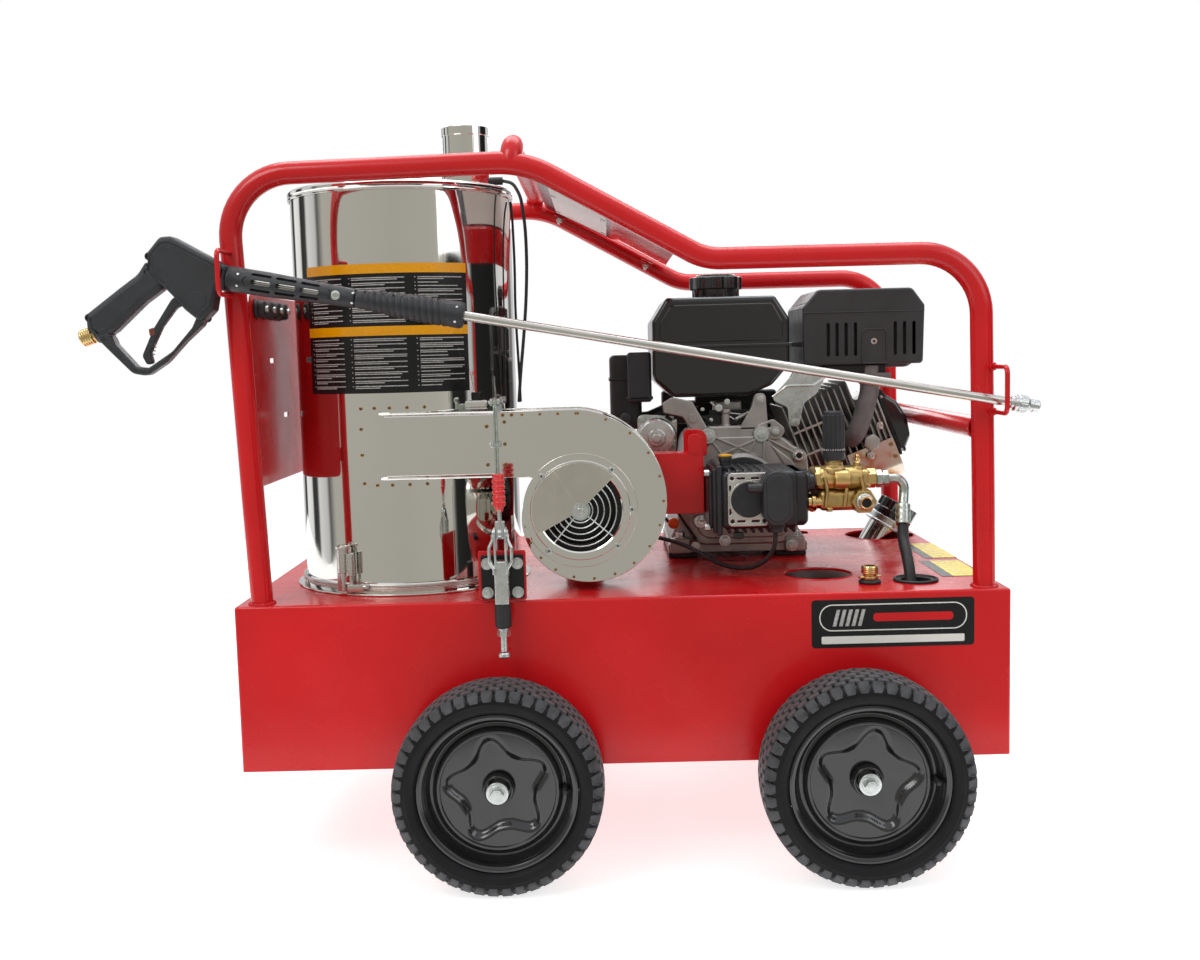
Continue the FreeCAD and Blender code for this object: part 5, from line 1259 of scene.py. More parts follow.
def engine_bolts_and_plugs():
    trims = Shape(ORANGE_PLASTIC)
    # oil plug, level switch and dipstick low on the crankcase
    trims.add(turned([(0, 0), (8, 0, 1.5), (8, 12, 2), (4, 14), (0, 14)], 20),
            at(326, ENGINE_Y + 10, 82, "-Y"))
    trims.add(block(26, 10, 12, 2.5), at(314, ENGINE_Y - 2, 74) @ Matrix.Rotation(-0.3, 4, "Y"))
    trims.add(turned([(0, 0), (9, 0, 1.5), (9, 10, 2), (4, 12), (0, 12)], 20),
            at(92, ENGINE_Y - 4, 62, "-Y"))
    trims.add(block(12, 8, 10, 2), at(86, ENGINE_Y - 10, 56))
    trims.add(turned([(0, 0), (8, 0, 1), (8, 5), (6, 6), (6, 14, 1), (0, 14)], 24),
            at(128, ENGINE_Y - 2, 24, "-Y"), SATIN_STEEL)
    trims.add(hexagon(14, 8, 0.8), at(128, ENGINE_Y - 14, 24, "-Y"), ZINC)
    for x, y, z, flats, washer in ((153, 321, 206, 13, 12.5), (241, 321, 207, 13, 12.5),
            (138, 322, 64, 12, 11), (275, 322, 60, 11, 8), (265, 322, 211, 8, 6), (178, 325, 30, 13, 10),
            (290, 322, 20, 13, 10)):
        trims.bolt(x, y, z, "-Y", flats, washer, 6)
    for x in (104, 296):
        trims.bolt(x, 340, 34, "+Z", 13, 12, 8)
    trims.add(tube(bent([(70, 342, 176), (56, 330, 140), (60, 326, 90), (88, 326, 60)], [20, 26], 8), 2.6,
            10), finish=RUBBER)
    trims.add(tube(bent([(96, 324, 86), (112, 320, 60), (130, 321, 34)], [16], 8), 2.2, 10), finish=RUBBER)
    trims.done("engine_bolts_and_plugs", "base", sharp=34)


# ---------------------------------------------------------------- pump


def pump_casting():
    body = Shape(PUMP_BLACK)
    body.add(block(116, 140, 88, 8, 4), at(158, 142, 74))
    body.add(block(96, 126, 84, 10, 4), at(196, 150, 76))
    for i in range(9):
        x = 168 + 12.4 * i
        rise = 8 - 0.55 * i
        rib = rounded([(146, 150, 4), (146, 158 + rise, 8), (268, 158 + rise, 8), (268, 150, 4)])
        body.add(slab(rib, 4.2, 1.2, (), 2), at(x, 0, 0) @ SIDEWAYS)
        low = rounded([(152, 78, 3), (152, 66, 4), (262, 66, 4), (262, 78, 3)])
        body.add(slab(low, 4, 1.1, (), 2), at(x, 0, 0) @ SIDEWAYS)
    body.add(rod(58, 8.6, 1.5, 64), at(CRANK[0], 281, CRANK[1], "+Y"))
    # left bearing cover, a stepped stack with bolts at its corners
    for x, soft, y0, y1, z0, z1 in ((150, 3, 146, 276, 64, 172), (144, 4, 150, 272, 68, 168),
            (138, 5, 156, 266, 74, 162)):
        body.add(block(9, y1 - y0, z1 - z0, soft, 3), at(x, y0, z0))
    for y, z in ((156, 76), (156, 160), (266, 76), (266, 160)):
        body.add(hexagon(9, 8, 0.8), at(140, y, z, "-X"), ZINC)
    body.add(turned([(0, 0), (12, 0, 1), (12, 6, 1), (9, 7), (9, 13, 1), (0, 13)], 32), at(168, 188, 162))
    body.add(turned([(0, 0), (10.5, 0, 1), (10.5, 8, 1.5), (0, 8)], 12), at(168, 188, 175))
    body.add(rod(10, 3.2, 1.2), at(168, 188, 183), YELLOW_PLASTIC)
    # the plunger head with its three valve plugs, and dark fluted collars towards the manifold
    body.add(block(26, 124, 84, 5, 3), at(262, 152, 76))
    for y in (176, 212, 248):
        body.add(turned([(0, 0), (17, 0, 1), (17, 4, 1), (15, 5), (15, 20), (17, 21, 1), (17, 25, 1),
                (14.5, 26), (14.5, 34, 1), (0, 34)], 32), at(270, y, 140, "+X"))
        for dy, dz in around(12, 15.4):
            body.add(rod(1.6, 13, 0.4, 8), at(276, y + dy, 140 + dz, "+X"))
        body.add(turned([(0, 0), (9, 0, 1), (9, 34, 1), (0, 34)], 24), at(270, y, 110, "+X"))
    body.add(block(16, 12, 10, 2), at(176, 150, 58))
    body.done("pump_casting", "base", ["pump_crankcase"], 34)


def bearing_cover():
    square = Shape(MACHINED)
    plate = rounded(oblong(166, 79, 229, 161, 7))
    cuts = [circle(3, x, z, 16) for x, z in ((173, 87), (222, 87), (173, 153), (222, 153))]
    for sx, sz in ((1, 1), (1, -1), (-1, 1), (-1, -1)):
        cuts.append(rounded(oblong(197.5 + sx * 5, 120 + sz * 34.4, 197.5 + sx * 17, 120 + sz * 31.4, 1)))
        cuts.append(rounded([(197.5 + sx * 28.8, 120 + sz * 8, 1), (197.5 + sx * 25.6, 120 + sz * 20, 1),
                (197.5 + sx * 28.8, 120 + sz * 25, 1)]))
    square.add(slab(plate, 6, 1.0, cuts, 2), at(0, 141.6, 0) @ UPRIGHT)
    square.add(turned([(27.4, 0), (30, 0, 0.5), (30, 2, 0.6), (27.4, 2)], 64, True),
            at(198, 135.6, 120, "-Y"))
    square.add(turned([(0, 0), (27, 0, 0.5), (27, 2.6, 1), (0, 2.8)], 64), at(198, 135.6, 120, "-Y"),
            PUMP_BLACK)
    for x, z in ((173, 87), (222, 87), (173, 153), (222, 153)):
        square.add(rod(4, 2.5, 0.6, 16), at(x, 139.4, z, "-Y"), BLACK_PAINT)
    square.done("bearing_cover", "base", ["pump_end_cover"], 34)


def flow_switch():
    switch = Shape(PLASTIC)
    top = [(216, 96, 12), (228, 83, 12), (247, 83, 12), (260, 96, 12), (260, 166, 19), (216, 166, 19)]
    switch.plate(top, 33, 100, 3.5, (), 4)
    switch.plate([(221, 100, 10), (231, 89, 10), (244, 89, 10), (255, 100, 10), (255, 161, 15),
            (221, 161, 15)], 4, 98.6, 1.6)
    switch.add(rod(7, 26, 2), at(220, 112, 140, "-X"))
    for z, radius in ((79, 11), (72, 9.6)):
        switch.add(rod(radius, 8, 1.5), at(238, 118, z))
    for dx, dy in around(14, 10.8):
        switch.add(rod(1.5, 7, 0.5, 8), at(238 + dx, 118 + dy, 79.4))
    switch.done("flow_switch", "base", ["pump_switch_box"], 34)


def brass_manifold():
    brass = Shape(BRASS)
    y = 170
    body_line = [(0, 0), (11, 0), (11, 5, 1), (16, 7, 2), (17, 12, 2), (17, 26, 3), (15, 32, 5),
            (18, 40, 6), (18.5, 56, 8), (17, 70, 6), (13.5, 76, 3), (12.5, 80), (0, 80)]
    brass.add(turned(body_line, 40), at(304, y, 146, "+X"))
    brass.add(hexagon(30, 9, 1), at(305, y, 146, "+X"), BRASS_TURNED)
    brass.add(hexagon(26, 13.7, 1.2), at(384, y, 145, "+X"), BRASS_TURNED)
    brass.add(rod(15.5, 26, 6), at(330, y - 14, 146, "+X"))
    brass.add(block(86, 90, 30, 9, 4), at(304, y - 14, 130))
    brass.add(block(78, 92, 32, 9, 4), at(308, y - 16, 97))
    brass.add(turned([(0, 0), (9.5, 0, 1), (9.5, 5), (12, 6, 1), (12, 12, 1), (9.5, 13), (9.5, 30),
            (0, 30)], 32), at(292, y - 6, 110, "+X"), BRASS_TURNED)
    brass.add(turned([(0, 0), (21, 0, 4), (19, 10, 3), (14, 14, 3), (13.5, 20, 1), (0, 20)], 40),
            at(334, y + 2, 152))
    brass.add(hexagon(24, 8, 1), at(334, y + 2, 163), BRASS_TURNED)
    brass.add(rod(9, 6, 0.6), at(334, y + 2, 170), BRASS_TURNED)
    # drain nipple with its barbed tip
    brass.add(turned([(0, 0), (6, 0, 1), (6, 10, 1), (4, 12), (4.6, 15, 0.6), (3.4, 18), (3.8, 20, 0.6),
            (2.2, 23), (0, 23)], 24), at(370, y, 160), BRASS_TURNED)
    brass.add(rod(11, 9, 4), at(370, y, 156))
    # cast ribs over the valve galleries
    for x in (316, 346, 372):
        brass.add(tube(bent([(x, y - 18, 150), (x + 4, y - 19, 132), (x + 1, y - 18, 104)], [24], 8), 3.4,
                12))
    # pressure outlet: a boss, a large hexagon and a threaded spigot
    brass.add(turned([(0, 0), (20, 0, 3), (18, 22, 4), (0, 22)], 40), at(375, y + 2, 112, "-Y"))
    brass.add(hexagon(34, 12, 1.4), at(375, y - 18, 112, "-Y"))
    brass.add(turned([(7, 0), (13, 0, 1), (13, 5, 1), (11, 6), (11, 16, 1.2), (7.4, 17, 0.5), (6, 12)], 40,
            True), at(375, y - 30, 112, "-Y"), ZINC)
    brass.add(bead(8.6, 1.6, 0, 40), at(375, y - 46.4, 112, "-Y"), BRASS_TURNED)
    brass.add(rod(6.6, 1, 0.2, 24), at(375, y - 43, 112, "-Y"), BLACK_PAINT)
    brass.add(turned([(0, 0), (5, 0, 1), (5, 6, 1), (0, 6)], 16), at(322, y - 26, 104, "-Z"))
    brass.done("brass_manifold", "base", ["pump_manifold"], 36)


def pressure_knob():
    knob = Shape(PLASTIC, at(334, 172, 174.4))
    knob.add(slab(lobed(14, 16.2, 0.8, 2.5, 168), 56, 0.8, (), 2), at(0, 0, 14))
    knob.add(turned([(0, 68), (15.2, 69, 1), (14.6, 75.6, 2), (0, 75.8)], 40))
    knob.add(turned([(10.4, 0), (16, 0, 1), (17, 5), (17, 14, 1), (10.4, 14)], 56, True))
    for x, y in around(28, 16.8):
        knob.add(rod(0.9, 3, 0.3, 8), at(x, y, 15), VINYL_GREY)
    knob.done("pressure_knob", "unloader_knob", ["unloader_knob"], 34)


FILLER_AXIS = at(490, 556, 0) @ spun(31, "Y")


def pressure_fittings():
    y = 170
    right = 398.3
    steel = Shape(GALVANISED)
    steel.add(hexagon(24, 9, 1.2), at(right, y, 144, "+X"))
    steel.add(turned([(0, 0), (10.4, 0, 1), (10.4, 3), (0, 3)], 32), at(right + 8.6, y, 144, "+X"))
    steel.add(hexagon(22, 8, 1.2), at(right + 11, y, 144, "+X"))
    foot, way = Vector((434.8, 146, 74.3)), Vector((0.11, 0.45, 0.886)).normalized()
    elbow = bent([(right + 18, y, 144), (442.5, y, 144), (441.4, 168, 121), tuple(foot + way * 34)],
            [16, 30], 12)
    steel.add(tube(elbow, 7.5, 24))
    steel.add(turned([(8.7, 0), (11, 0, 0.8), (11.4, 3, 1), (10.8, 7, 1), (11.4, 12, 1), (10.8, 17, 1),
            (11.4, 22, 1), (10.8, 27, 1), (11.2, 32, 1), (9, 34, 1), (0, 34), (0, 6), (8.7, 6)], 40),
            at(*foot) @ way.to_track_quat("Z", "Y").to_matrix().to_4x4())
    steel.done("pressure_fittings", "base", ["hose_fittings"], 34)


def water_inlet_coupler():
    inlet = Shape(BRASS_TURNED, at(367, 66, 0))
    inlet.add(turned([(0, 0.3), (16, 0.3, 1), (17, 4, 2), (13, 6, 2), (0, 6)], 40), finish=RUBBER)
    inlet.add(turned([(0, 5), (11, 5, 1), (12, 8, 1), (12, 11, 1), (9.6, 12), (9.6, 14), (12.4, 15, 1),
            (12.4, 24, 1), (11.4, 26.4, 0.6), (7.4, 26.4), (7.4, 14), (0, 14)], 40))
    for turn in (0.3, 0.3 + math.pi):
        inlet.add(block(9, 7, 4, 1.5), Matrix.Rotation(turn, 4, "Z") @ at(9, -3.5, 8))
    for i in range(3):
        inlet.add(bead(12.2, 0.5, 0, 40), at(0, 0, 16.6 + 2.6 * i))
    inlet.done("water_inlet_coupler", "base", sharp=34)


def rubber_seals():
    seals = Shape(RUBBER)
    seals.add(turned([(22, -6), (26.4, -6), (26.4, 0.2), (33, 0.3), (33.4, 3, 1.4), (30.4, 4.6, 1.4),
            (27.6, 1.6, 1), (24, 1.4, 1), (22, 1)], 64, True), at(*HOSE_HOLE[:2], 0))
    for x in (84, 266):
        seals.add(block(50, 200, 7.6, 1.5), at(x, 352 - 14, 0.25))
    seals.add(turned([(0, 0), (11, 0, 1), (11, 6, 1), (9.4, 7), (9.4, 30, 2), (0, 30)], 24),
            at(-155, 70, 0.3))
    seals.done("rubber_seals", "base", ["rubber_mounts"], 34)


def filler_tube():
    neck = Shape(ZINC, FILLER_AXIS)
    neck.add(turned([(31, -60), (33, -60), (33, 33), (32.4, 34), (31, 34)], 64, True), finish=MIRROR)
    neck.add(turned([(33.2, 16), (42, 16, 0.8), (42, 20, 0.8), (39, 22), (39, 33, 1), (33.2, 33)], 64,
            True))
    for turn in (0.6, 2.7, 4.8):
        neck.add(hexagon(7, 4, 0.6), Matrix.Rotation(turn, 4, "Z") @ at(38.4, 0, 27, "+X"))
    neck.done("filler_tube", "base", ["filler_neck"], 34)


def filler_stopper():
    stopper = Shape(GLOSS_PLASTIC, FILLER_AXIS)
    stopper.add(slab(lobed(12, 35.4, 1.2, 2.4, 144), 18.4, 2.4, (), 3), at(0, 0, 47.6))
    stopper.add(turned([(0, 32), (30.4, 32, 1), (30.4, 34.4), (37, 34.4, 1), (37.3, 40, 1), (37, 46, 2),
            (35.6, 48), (0, 48)], 64))
    stopper.done("filler_stopper", "filler_cap", ["filler_cap"], 34)


def blower_arm():
    bracket = Shape(RED)
    arm_y = 260.3
    bracket.plate(oblong(-110, 86, 138, 186, 8), 4, arm_y, 1.4)
    bracket.plate([(108, 178, 6), (146, 178, 6), (146, 222, 16), (108, 222, 6)], 4, arm_y, 1.4)
    for z in (205, 100):
        bracket.add(rod(9, 326 - arm_y - 4.4, 1), at(124, arm_y + 4, z, "+Y"))
    bracket.add(block(60, 4, 92, 1.5), at(-87, arm_y, 0.4))
    bracket.add(block(60, 40, 4, 1.5), at(-87, arm_y, 0.4))
    # the visible arm: a folded channel from the blower to the pump flange
    bracket.add(block(108, 3, 96, 1.2), at(28, 208, 92))
    bracket.add(block(108, 52, 3, 1.2), at(28, 209, 185))
    bracket.add(block(108, 52, 3, 1.2), at(28, 209, 92))
    bracket.plate([(112, 184, 2), (134, 184, 2), (134, 218, 10), (112, 218, 8)], 3, 208, 1.2)
    saddle = block(40, 30, 52, 1.2)
    saddle.transform(at(-77, 188, 24))
    hollow = rod(46.3, 40)
    hollow.transform(at(BLOWER[0], 178, BLOWER[1], "+Y"))
    bracket.add(cut_out(saddle, [hollow]))
    bracket.add(block(40, 30, 25, 1.2), at(-77, 188, 0.4))
    bracket.done("blower_arm", "base", ["blower_bracket"], 34)


# ---------------------------------------------------------------- parking brake

BRAKE_X = -168


def brake_mount():
    base = Shape(ZINC)
    base.plate(oblong(-203, 1, -135, 73, 4), 3.4, -3.6, 1.2, finish=RED)
    base.plate(oblong(-199, 4, -138, 67, 3), 3.4, -7.2, 1.1, finish=BLACK_PAINT)
    # folded channel that guides the rod
    base.add(block(20, 22, 62, 2.5, 3), at(BRAKE_X - 10, -34, 0))
    base.add(block(12, 26, 40, 2), at(BRAKE_X - 6, -32, 16))
    for x in (-9, 6):
        base.add(slab(rounded([(-36, 55), (-12, 55), (-12, 92, 5), (-22, 110, 8), (-38, 110, 8),
                (-40, 88, 6)]), 3, 1), at(BRAKE_X + x, 0, 0) @ SIDEWAYS)
    base.add(turned([(0, 0), (6, 0, 1.5), (6, 2), (3.1, 2), (3.1, 20), (6, 20), (6, 22.4, 1.5), (0, 22.4)],
            24), at(BRAKE_X - 11.2, -30, 101, "+X"))
    sleeve = [(8.4, 0), (11.6, 0, 1.5), (11.9, 16, 6), (11.6, 33, 1.5), (8.4, 33)]
    base.add(turned(sleeve, 40, True), at(BRAKE_X, -23, -33), RUBBER)
    for x, z in ((-190, 13.5), (-147, 13.5), (-190, 55), (-147, 55)):
        base.bolt(x, -7.4, z, "-Y", 10, 8.4, 5)
    base.done("brake_mount", "base", ["brake_base"], 34)


def brake_handle():
    lever = Shape(ZINC, at(BRAKE_X, -30, 101))
    lever.add(turned([(3.3, -2.7), (8, -2.7, 1), (8, 2.7, 1), (3.3, 2.7)], 32, True), at(0, 0, 0, "+X"))
    lever.add(block(5, 11, 40, 1.8, 3), at(-2.5, -5.5, 4))
    lever.add(block(14, 7, 26, 2.5, 3), at(-7, -3.5, -8))
    grip = [(0, 30), (4.4, 30, 1), (6.4, 37, 2)]
    for i in range(5):
        z = 41 + 7.6 * i
        grip += [(9.2, z, 2.2), (9.2, z + 3, 2.2), (7.4, z + 5.4, 1.4)]
    grip += [(8.6, 80, 2), (8, 83.4, 3), (0, 84)]
    lever.add(turned(grip, 40, arc=4), finish=RED_GRIP)
    lever.done("brake_handle", "brake_lever", ["brake_lever"], 30)


def brake_rod():
    rod_piece = Shape(ZINC, at(BRAKE_X, -23, 0))
    rod_piece.add(rod(5, 126, 0.8), at(0, 0, -68))
    rod_piece.add(hexagon(17, 9, 1.2), at(0, 0, -46))
    rod_piece.add(turned([(5, 0), (8.2, 0, 1), (8.2, 3, 1), (5, 3)], 24, True), at(0, 0, -37))
    rod_piece.add(turned([(0, -77), (7.4, -77, 0.8), (9, -75, 0.8), (9, -71, 0.8), (7, -69), (0, -69)], 32))
    for i in range(9):
        rod_piece.add(bead(4.9, 0.5, 0, 32), at(0, 0, -66 + 2.2 * i))
    # bowed link of round wire that joins the rod to the handle
    for way in (-1, 1):
        side = bent([(way * 9.4, -14, 44), (way * 9.4, -14, 52), (way * 15.6, -14, 62),
                (way * 15.6, -14, 82), (way * 10.6, -10, 92), (way * 10.6, -8, 100)], [4, 5, 6, 4], 5)
        rod_piece.add(tube(side, 2.3, 12))
    rod_piece.done("brake_rod", "brake_plunger", ["brake_plunger"], 34)


# ---------------------------------------------------------------- gun and lance


def gun_moulding():
    half = 17
    body = Shape(PLASTIC, LANCE)

    def layer(corners, low, high, soft, finish=PLASTIC, holes=(), steps=5, arc=6):
        body.add(slab(rounded(corners, arc), high - low, soft, holes, steps), at(0, high, 0) @ UPRIGHT,
                finish)

    head = [(3, 16, 3), (3, -17, 3), (-7, -18, 3), (-8, -46, 6), (-22, -66, 8), (-46, -52, 8),
            (-60, -40, 10), (-78, -26, 6), (-92, -20, 10), (-102, -8, 8), (-108, 16, 9), (-93, 41, 11),
            (-78, 44.5, 12)]
    layer(head, -half, half, 6)
    handle = [(-76, -24, 10), (-102, 0, 14), (-109, 6, 10), (-118, -14, 34), (-140, -36, 30),
            (-182, -80, 6), (-177, -101, 6), (-158, -113, 6), (-138, -96, 10), (-104, -52, 30)]
    layer(handle, -15, 15, 9)
    # raised panel on each side, with the parting line above it
    for low, high in ((-half - 0.9, -half + 2), (half - 2, half + 0.9)):
        panel = [(-2, 9, 4), (-10, -14, 10), (-12, -40, 8), (-24, -56, 8), (-50, -40, 12), (-80, -18, 12),
                (-94, -8, 10), (-99, 14, 8), (-88, 31, 12), (-78, 34, 10)]
        layer(panel, low, high, 0.9, steps=2)
        layer(circle(12, -30, -36, 28), low - 0.6, high, 0.8, steps=2)
    rim = [(3.2, 11.6), (3.2, 9.8), (-78, 36.2, 10), (-90, 33, 10), (-102.5, 14, 8), (-101, 0), (-103, 0),
            (-104.5, 14.5, 8), (-91, 35.4, 11), (-78, 38.2, 11)]
    layer(rim, -half - 0.5, half + 0.5, 0.5, steps=1)
    # trigger guard: a flat strap that runs from the nose round to the foot of the grip
    outer = [(-10, -40), (-22, -70, 6), (-42, -95, 30), (-64, -128, 34), (-88, -150, 16), (-108, -150, 16),
            (-144, -124, 30), (-178, -98, 4), (-166, -88), (-142, -104, 10), (-136, -114, 12),
            (-104, -140, 9), (-88, -139, 9), (-58, -111, 24), (-35, -74, 12), (-30, -56, 4)]
    layer(outer, -10.6, 10.6, 3, steps=3)
    # foot of the grip, its brass inlet and the ribbed collar
    foot = at(-168, 0, -104) @ spun(-118, "Y")
    body.add(turned([(0, -22), (15, -22, 2), (15.4, -10, 2), (13.4, 0, 2), (0, 0)], 40), foot)
    inlet = [(0, -4), (11, -4), (11, 2, 0.6), (10, 3), (12, 5, 1)]
    for i in range(4):
        inlet += [(12, 6 + 3.2 * i), (11.3, 7.2 + 3.2 * i), (12, 8.6 + 3.2 * i)]
    inlet += [(12, 19), (10.6, 21, 0.8), (7, 21), (7, 12), (0, 12)]
    body.add(turned(inlet, 40), foot, BRASS_TURNED)
    for x, z, deep in ((-70, 27.6, half), (-73, -18, half), (-22, -59, half - 4), (-104, 12.6, half - 3),
            (-176, -83, 12), (-157, -104, 12), (-14, 0, half)):
        for way, turn in ((-1, "-Y"), (1, "+Y")):
            spot = at(x, way * (deep + 0.6), z, turn)
            body.add(turned([(3.2, -3), (5.6, -3), (5.6, 0.5, 0.6), (3.4, 0.5, 0.4)], 24, True), spot)
            body.add(rod(3.2, 0.8, 0.3, 20), spot @ at(0, 0, -1.6), BLACK_PAINT)
            body.add(rod(1.7, 1.0, 0.3, 8), spot @ at(0.4, 0.3, -1.2), ZINC)
    body.add(rod(3, 20, 0.4, 20), at(-34, -10, -32, "+Y"), ZINC)
    body.done("gun_moulding", "gun", ["gun_body"], 32)


def gun_lever():
    trigger = Shape(PLASTIC, LANCE)
    lever = [(-34, -24, 8), (-25, -32, 8), (-34, -43, 6), (-60, -49, 16), (-77, -80, 20), (-89, -118, 6),
            (-83, -132, 4), (-92, -135, 4), (-100, -124, 8), (-89, -84, 10), (-68, -37, 16)]
    bore = circle(3.1, -34, -32, 20)
    trigger.add(slab(rounded(lever, 6), 12, 2.6, [bore], 4), at(0, 6, 0) @ UPRIGHT)
    for i in range(7):
        trigger.add(block(9, 12.4, 1.4, 0.6, 1), at(-92 - 0.4 * i, -6.2, -88 - 5 * i) @ Matrix.Rotation(0.3,
                4, "Y"))
    latch = rounded([(-95, -86, 2), (-88, -82, 2), (-85, -92, 2), (-92, -96, 2)])
    trigger.add(slab(latch, 13.6, 1.2), at(0, 6.8, 0) @ UPRIGHT, BROWN)
    trigger.done("gun_lever", "trigger", ["gun_trigger"], 32)


def lance_sleeve():
    grip = Shape(PLASTIC, LANCE @ ALONG["+X"])
    # after this turn the piece's own Z runs along the lance, -X is up and Y stays
    shell = turned([(9, 3), (17, 3, 1.5), (17.4, 8, 1), (17.2, 60, 30), (14.6, 130, 60), (12.9, 180, 4),
            (9, 180)], 64, True)
    tools = []
    for turn in (-52, -90, -128, 52, 90, 128):
        for start, long in ((38, 28), (72, 28), (106, 26)):
            wide = 2.2 if abs(turn) != 90 else 3.2
            slot_hole = slab(rounded(oblong(start, -wide, start + long, wide, wide * 0.98)), 16)
            # slots open outwards: long side along Z, depth along the radius
            slot_hole.transform(spun(turn, "Z") @ at(6, 0, 0) @ Matrix(((0, 0, 1, 0), (0, 1, 0, 0),
                    (1, 0, 0, 0), (0, 0, 0, 1))))
            slot_hole.flip_normals()
            tools.append(slot_hole)
    grip.add(cut_out(shell, tools))

    ribs = [(9, 180), (12.6, 182, 1), (12.8, 188, 1)]
    for i in range(13):
        share = i / 12
        outer = 13.6 + 4.6 * min(1, share * 1.5) ** 0.8
        z = 192 + 8.9 * i
        ribs += [(outer - 1.1, z), (outer + 0.5, z + 2.2, 2), (outer + 0.6, z + 5.6, 2)]
    ribs += [(17.6, 309), (18.4, 313, 1), (18.6, 326, 2), (17, 331.6, 1.5), (9, 332)]

    def slant(along, angle):
        share = max(0.0, min(1.0, (along - 186) / 12)) * max(0.0, min(1.0, (318 - along) / 12))
        return 3.4 * share * math.cos(angle)

    grip.add(lathe(rounded(ribs, 3), 64, True, slant))
    for along, turn, radius in ((20, -62, 17.3), (20, -118, 17.3), (178, -58, 13.2), (178, -122, 13.2),
            (322, -56, 18.4), (322, -124, 18.4)):
        for way in (1, -1):
            spot = (spun(turn * way, "Z") @ at(radius, 0, along) @ ALONG["+X"])
            grip.add(turned([(1.9, -1.6), (3.4, -1.6), (3.4, 0.4, 0.4), (2, 0.4, 0.3)], 20, True), spot)
            grip.add(rod(1.9, 1.2, 0.4, 14), spot @ at(0, 0, -1), ZINC)
    # the cross screw that clamps the sleeve
    for way in (-90, 90):
        spot = spun(way, "Z") @ at(13.0, 0, 155) @ ALONG["+X"]
        grip.add(turned([(2.6, 0), (6.4, 0, 0.4), (6.2, 1.6, 0.8), (2.8, 2, 0.4)], 28, True), spot, ZINC)
        grip.add(rod(2.8, 1.1, 0.3, 6), spot, SATIN_STEEL)
    # crescent grooves either side of the slots, and a row of small dimples along the ribs
    for middle, bow in ((34, 9), (142, -9)):
        for way in (-90, 90):
            pts = []
            for k in range(9):
                a = math.radians(-62 + 124 * k / 8)
                pts.append((7 * math.sin(a), middle - bow * math.cos(a) * 0.7))
            holder = spun(way, "Z")
            arc_r = 17.0 if middle < 100 else 14.2
            wrapped = [holder @ Vector((math.sqrt(max(1, arc_r ** 2 - y * y)) - 0.3, y, z)) for y, z in pts]
            grip.add(tube(wrapped, 1.1, 8), finish=BLACK_PAINT)
    for i in range(9):
        for way in (-1, 1):
            spot = spun(-138 * way, "Z") @ at(17.0 if i > 3 else 14.6 + 0.6 * i, 0, 194 + 13 * i)
            grip.add(rod(1.2, 1.4, 0.2, 8), spot @ ALONG["+X"], BLACK_PAINT)
    grip.done("lance_sleeve", "gun", ["lance_grip"], 34)


def lance_pipe():
    lance = Shape(ZINC, LANCE @ ALONG["+X"])
    lance.add(turned([(0, 2.6), (6.5, 2.6), (6.5, 1104, 0.4), (0, 1104)], 40), finish=SATIN_STEEL)
    coupler = [(6.6, 1098), (8.6, 1099, 1), (9, 1102, 1), (11.6, 1104, 1), (11.6, 1108, 0.6), (11, 1109),
            (11.6, 1110, 0.6), (11.6, 1121, 1), (9.6, 1123.6, 1), (8.4, 1125, 0.5), (8.4, 1138, 1),
            (7, 1139, 0.4), (4.2, 1139), (4.2, 1112), (0, 1112)]
    lance.add(turned(coupler, 48))
    lance.add(bead(8.4, 0.7, 0, 40), at(0, 0, 1130))
    for x, y in around(12, 11.4):
        lance.add(rod(0.9, 9, 0.3, 8), at(x, y, 1111))
    lance.done("lance_pipe", "gun", ["lance_tube"], 34)


# ---------------------------------------------------------------- fasteners and carried-over nodes


def wheel_bolts():
    heads = Shape(ZINC)
    for x in AXLE_X:
        for y, turn in ((-95.4, "-Y"), (749.9, "+Y")):
            place = at(x, y, AXLE_Z, turn)
            heads.add(turned([(0, 0), (15.8, 0, 1), (15.6, 3, 1), (13, 3.4), (0, 3.4)], 40), place)
            heads.add(turned([(0, 3), (11.4, 3, 1), (11.4, 5, 1), (0, 5)], 40), place)
            heads.add(hexagon(17, 8, 1.4), place @ at(0, 0, 4.6))
            heads.add(rod(6, 0.8, 0.3), place @ at(0, 0, 12.4))
    heads.done("axle_end_bolts", "base", ["fasteners"], 34)


def dress_nodes():
    """Carried-over CAD nodes get the finish that their slot names."""
    finishes = {"red_paint": RED, "black_metal": BLACK_PAINT, "polished_steel": MIRROR, "zinc": ZINC,
            "steel": SATIN_STEEL, "cast_aluminium": CAST, "black_plastic": PLASTIC,
            "gloss_black": GLOSS_PLASTIC, "black_enamel": ENAMEL, "pump_black": PUMP_BLACK, "brass": BRASS,
            "rubber": RUBBER, "tyre": TREAD, "red_plastic": RED_GRIP, "translucent_plastic": TANK_PLASTIC}
    slots = {part["node"]: part["material_slot"] for part in frame["record"]["subparts"]}
    for node, piece in frame["nodes"].items():
        for holder in piece.material_slots:
            holder.material = finishes[slots[node]]
    for holder in frame["nodes"]["blower_wheel"].material_slots:
        holder.material = GRILLE_BLACK


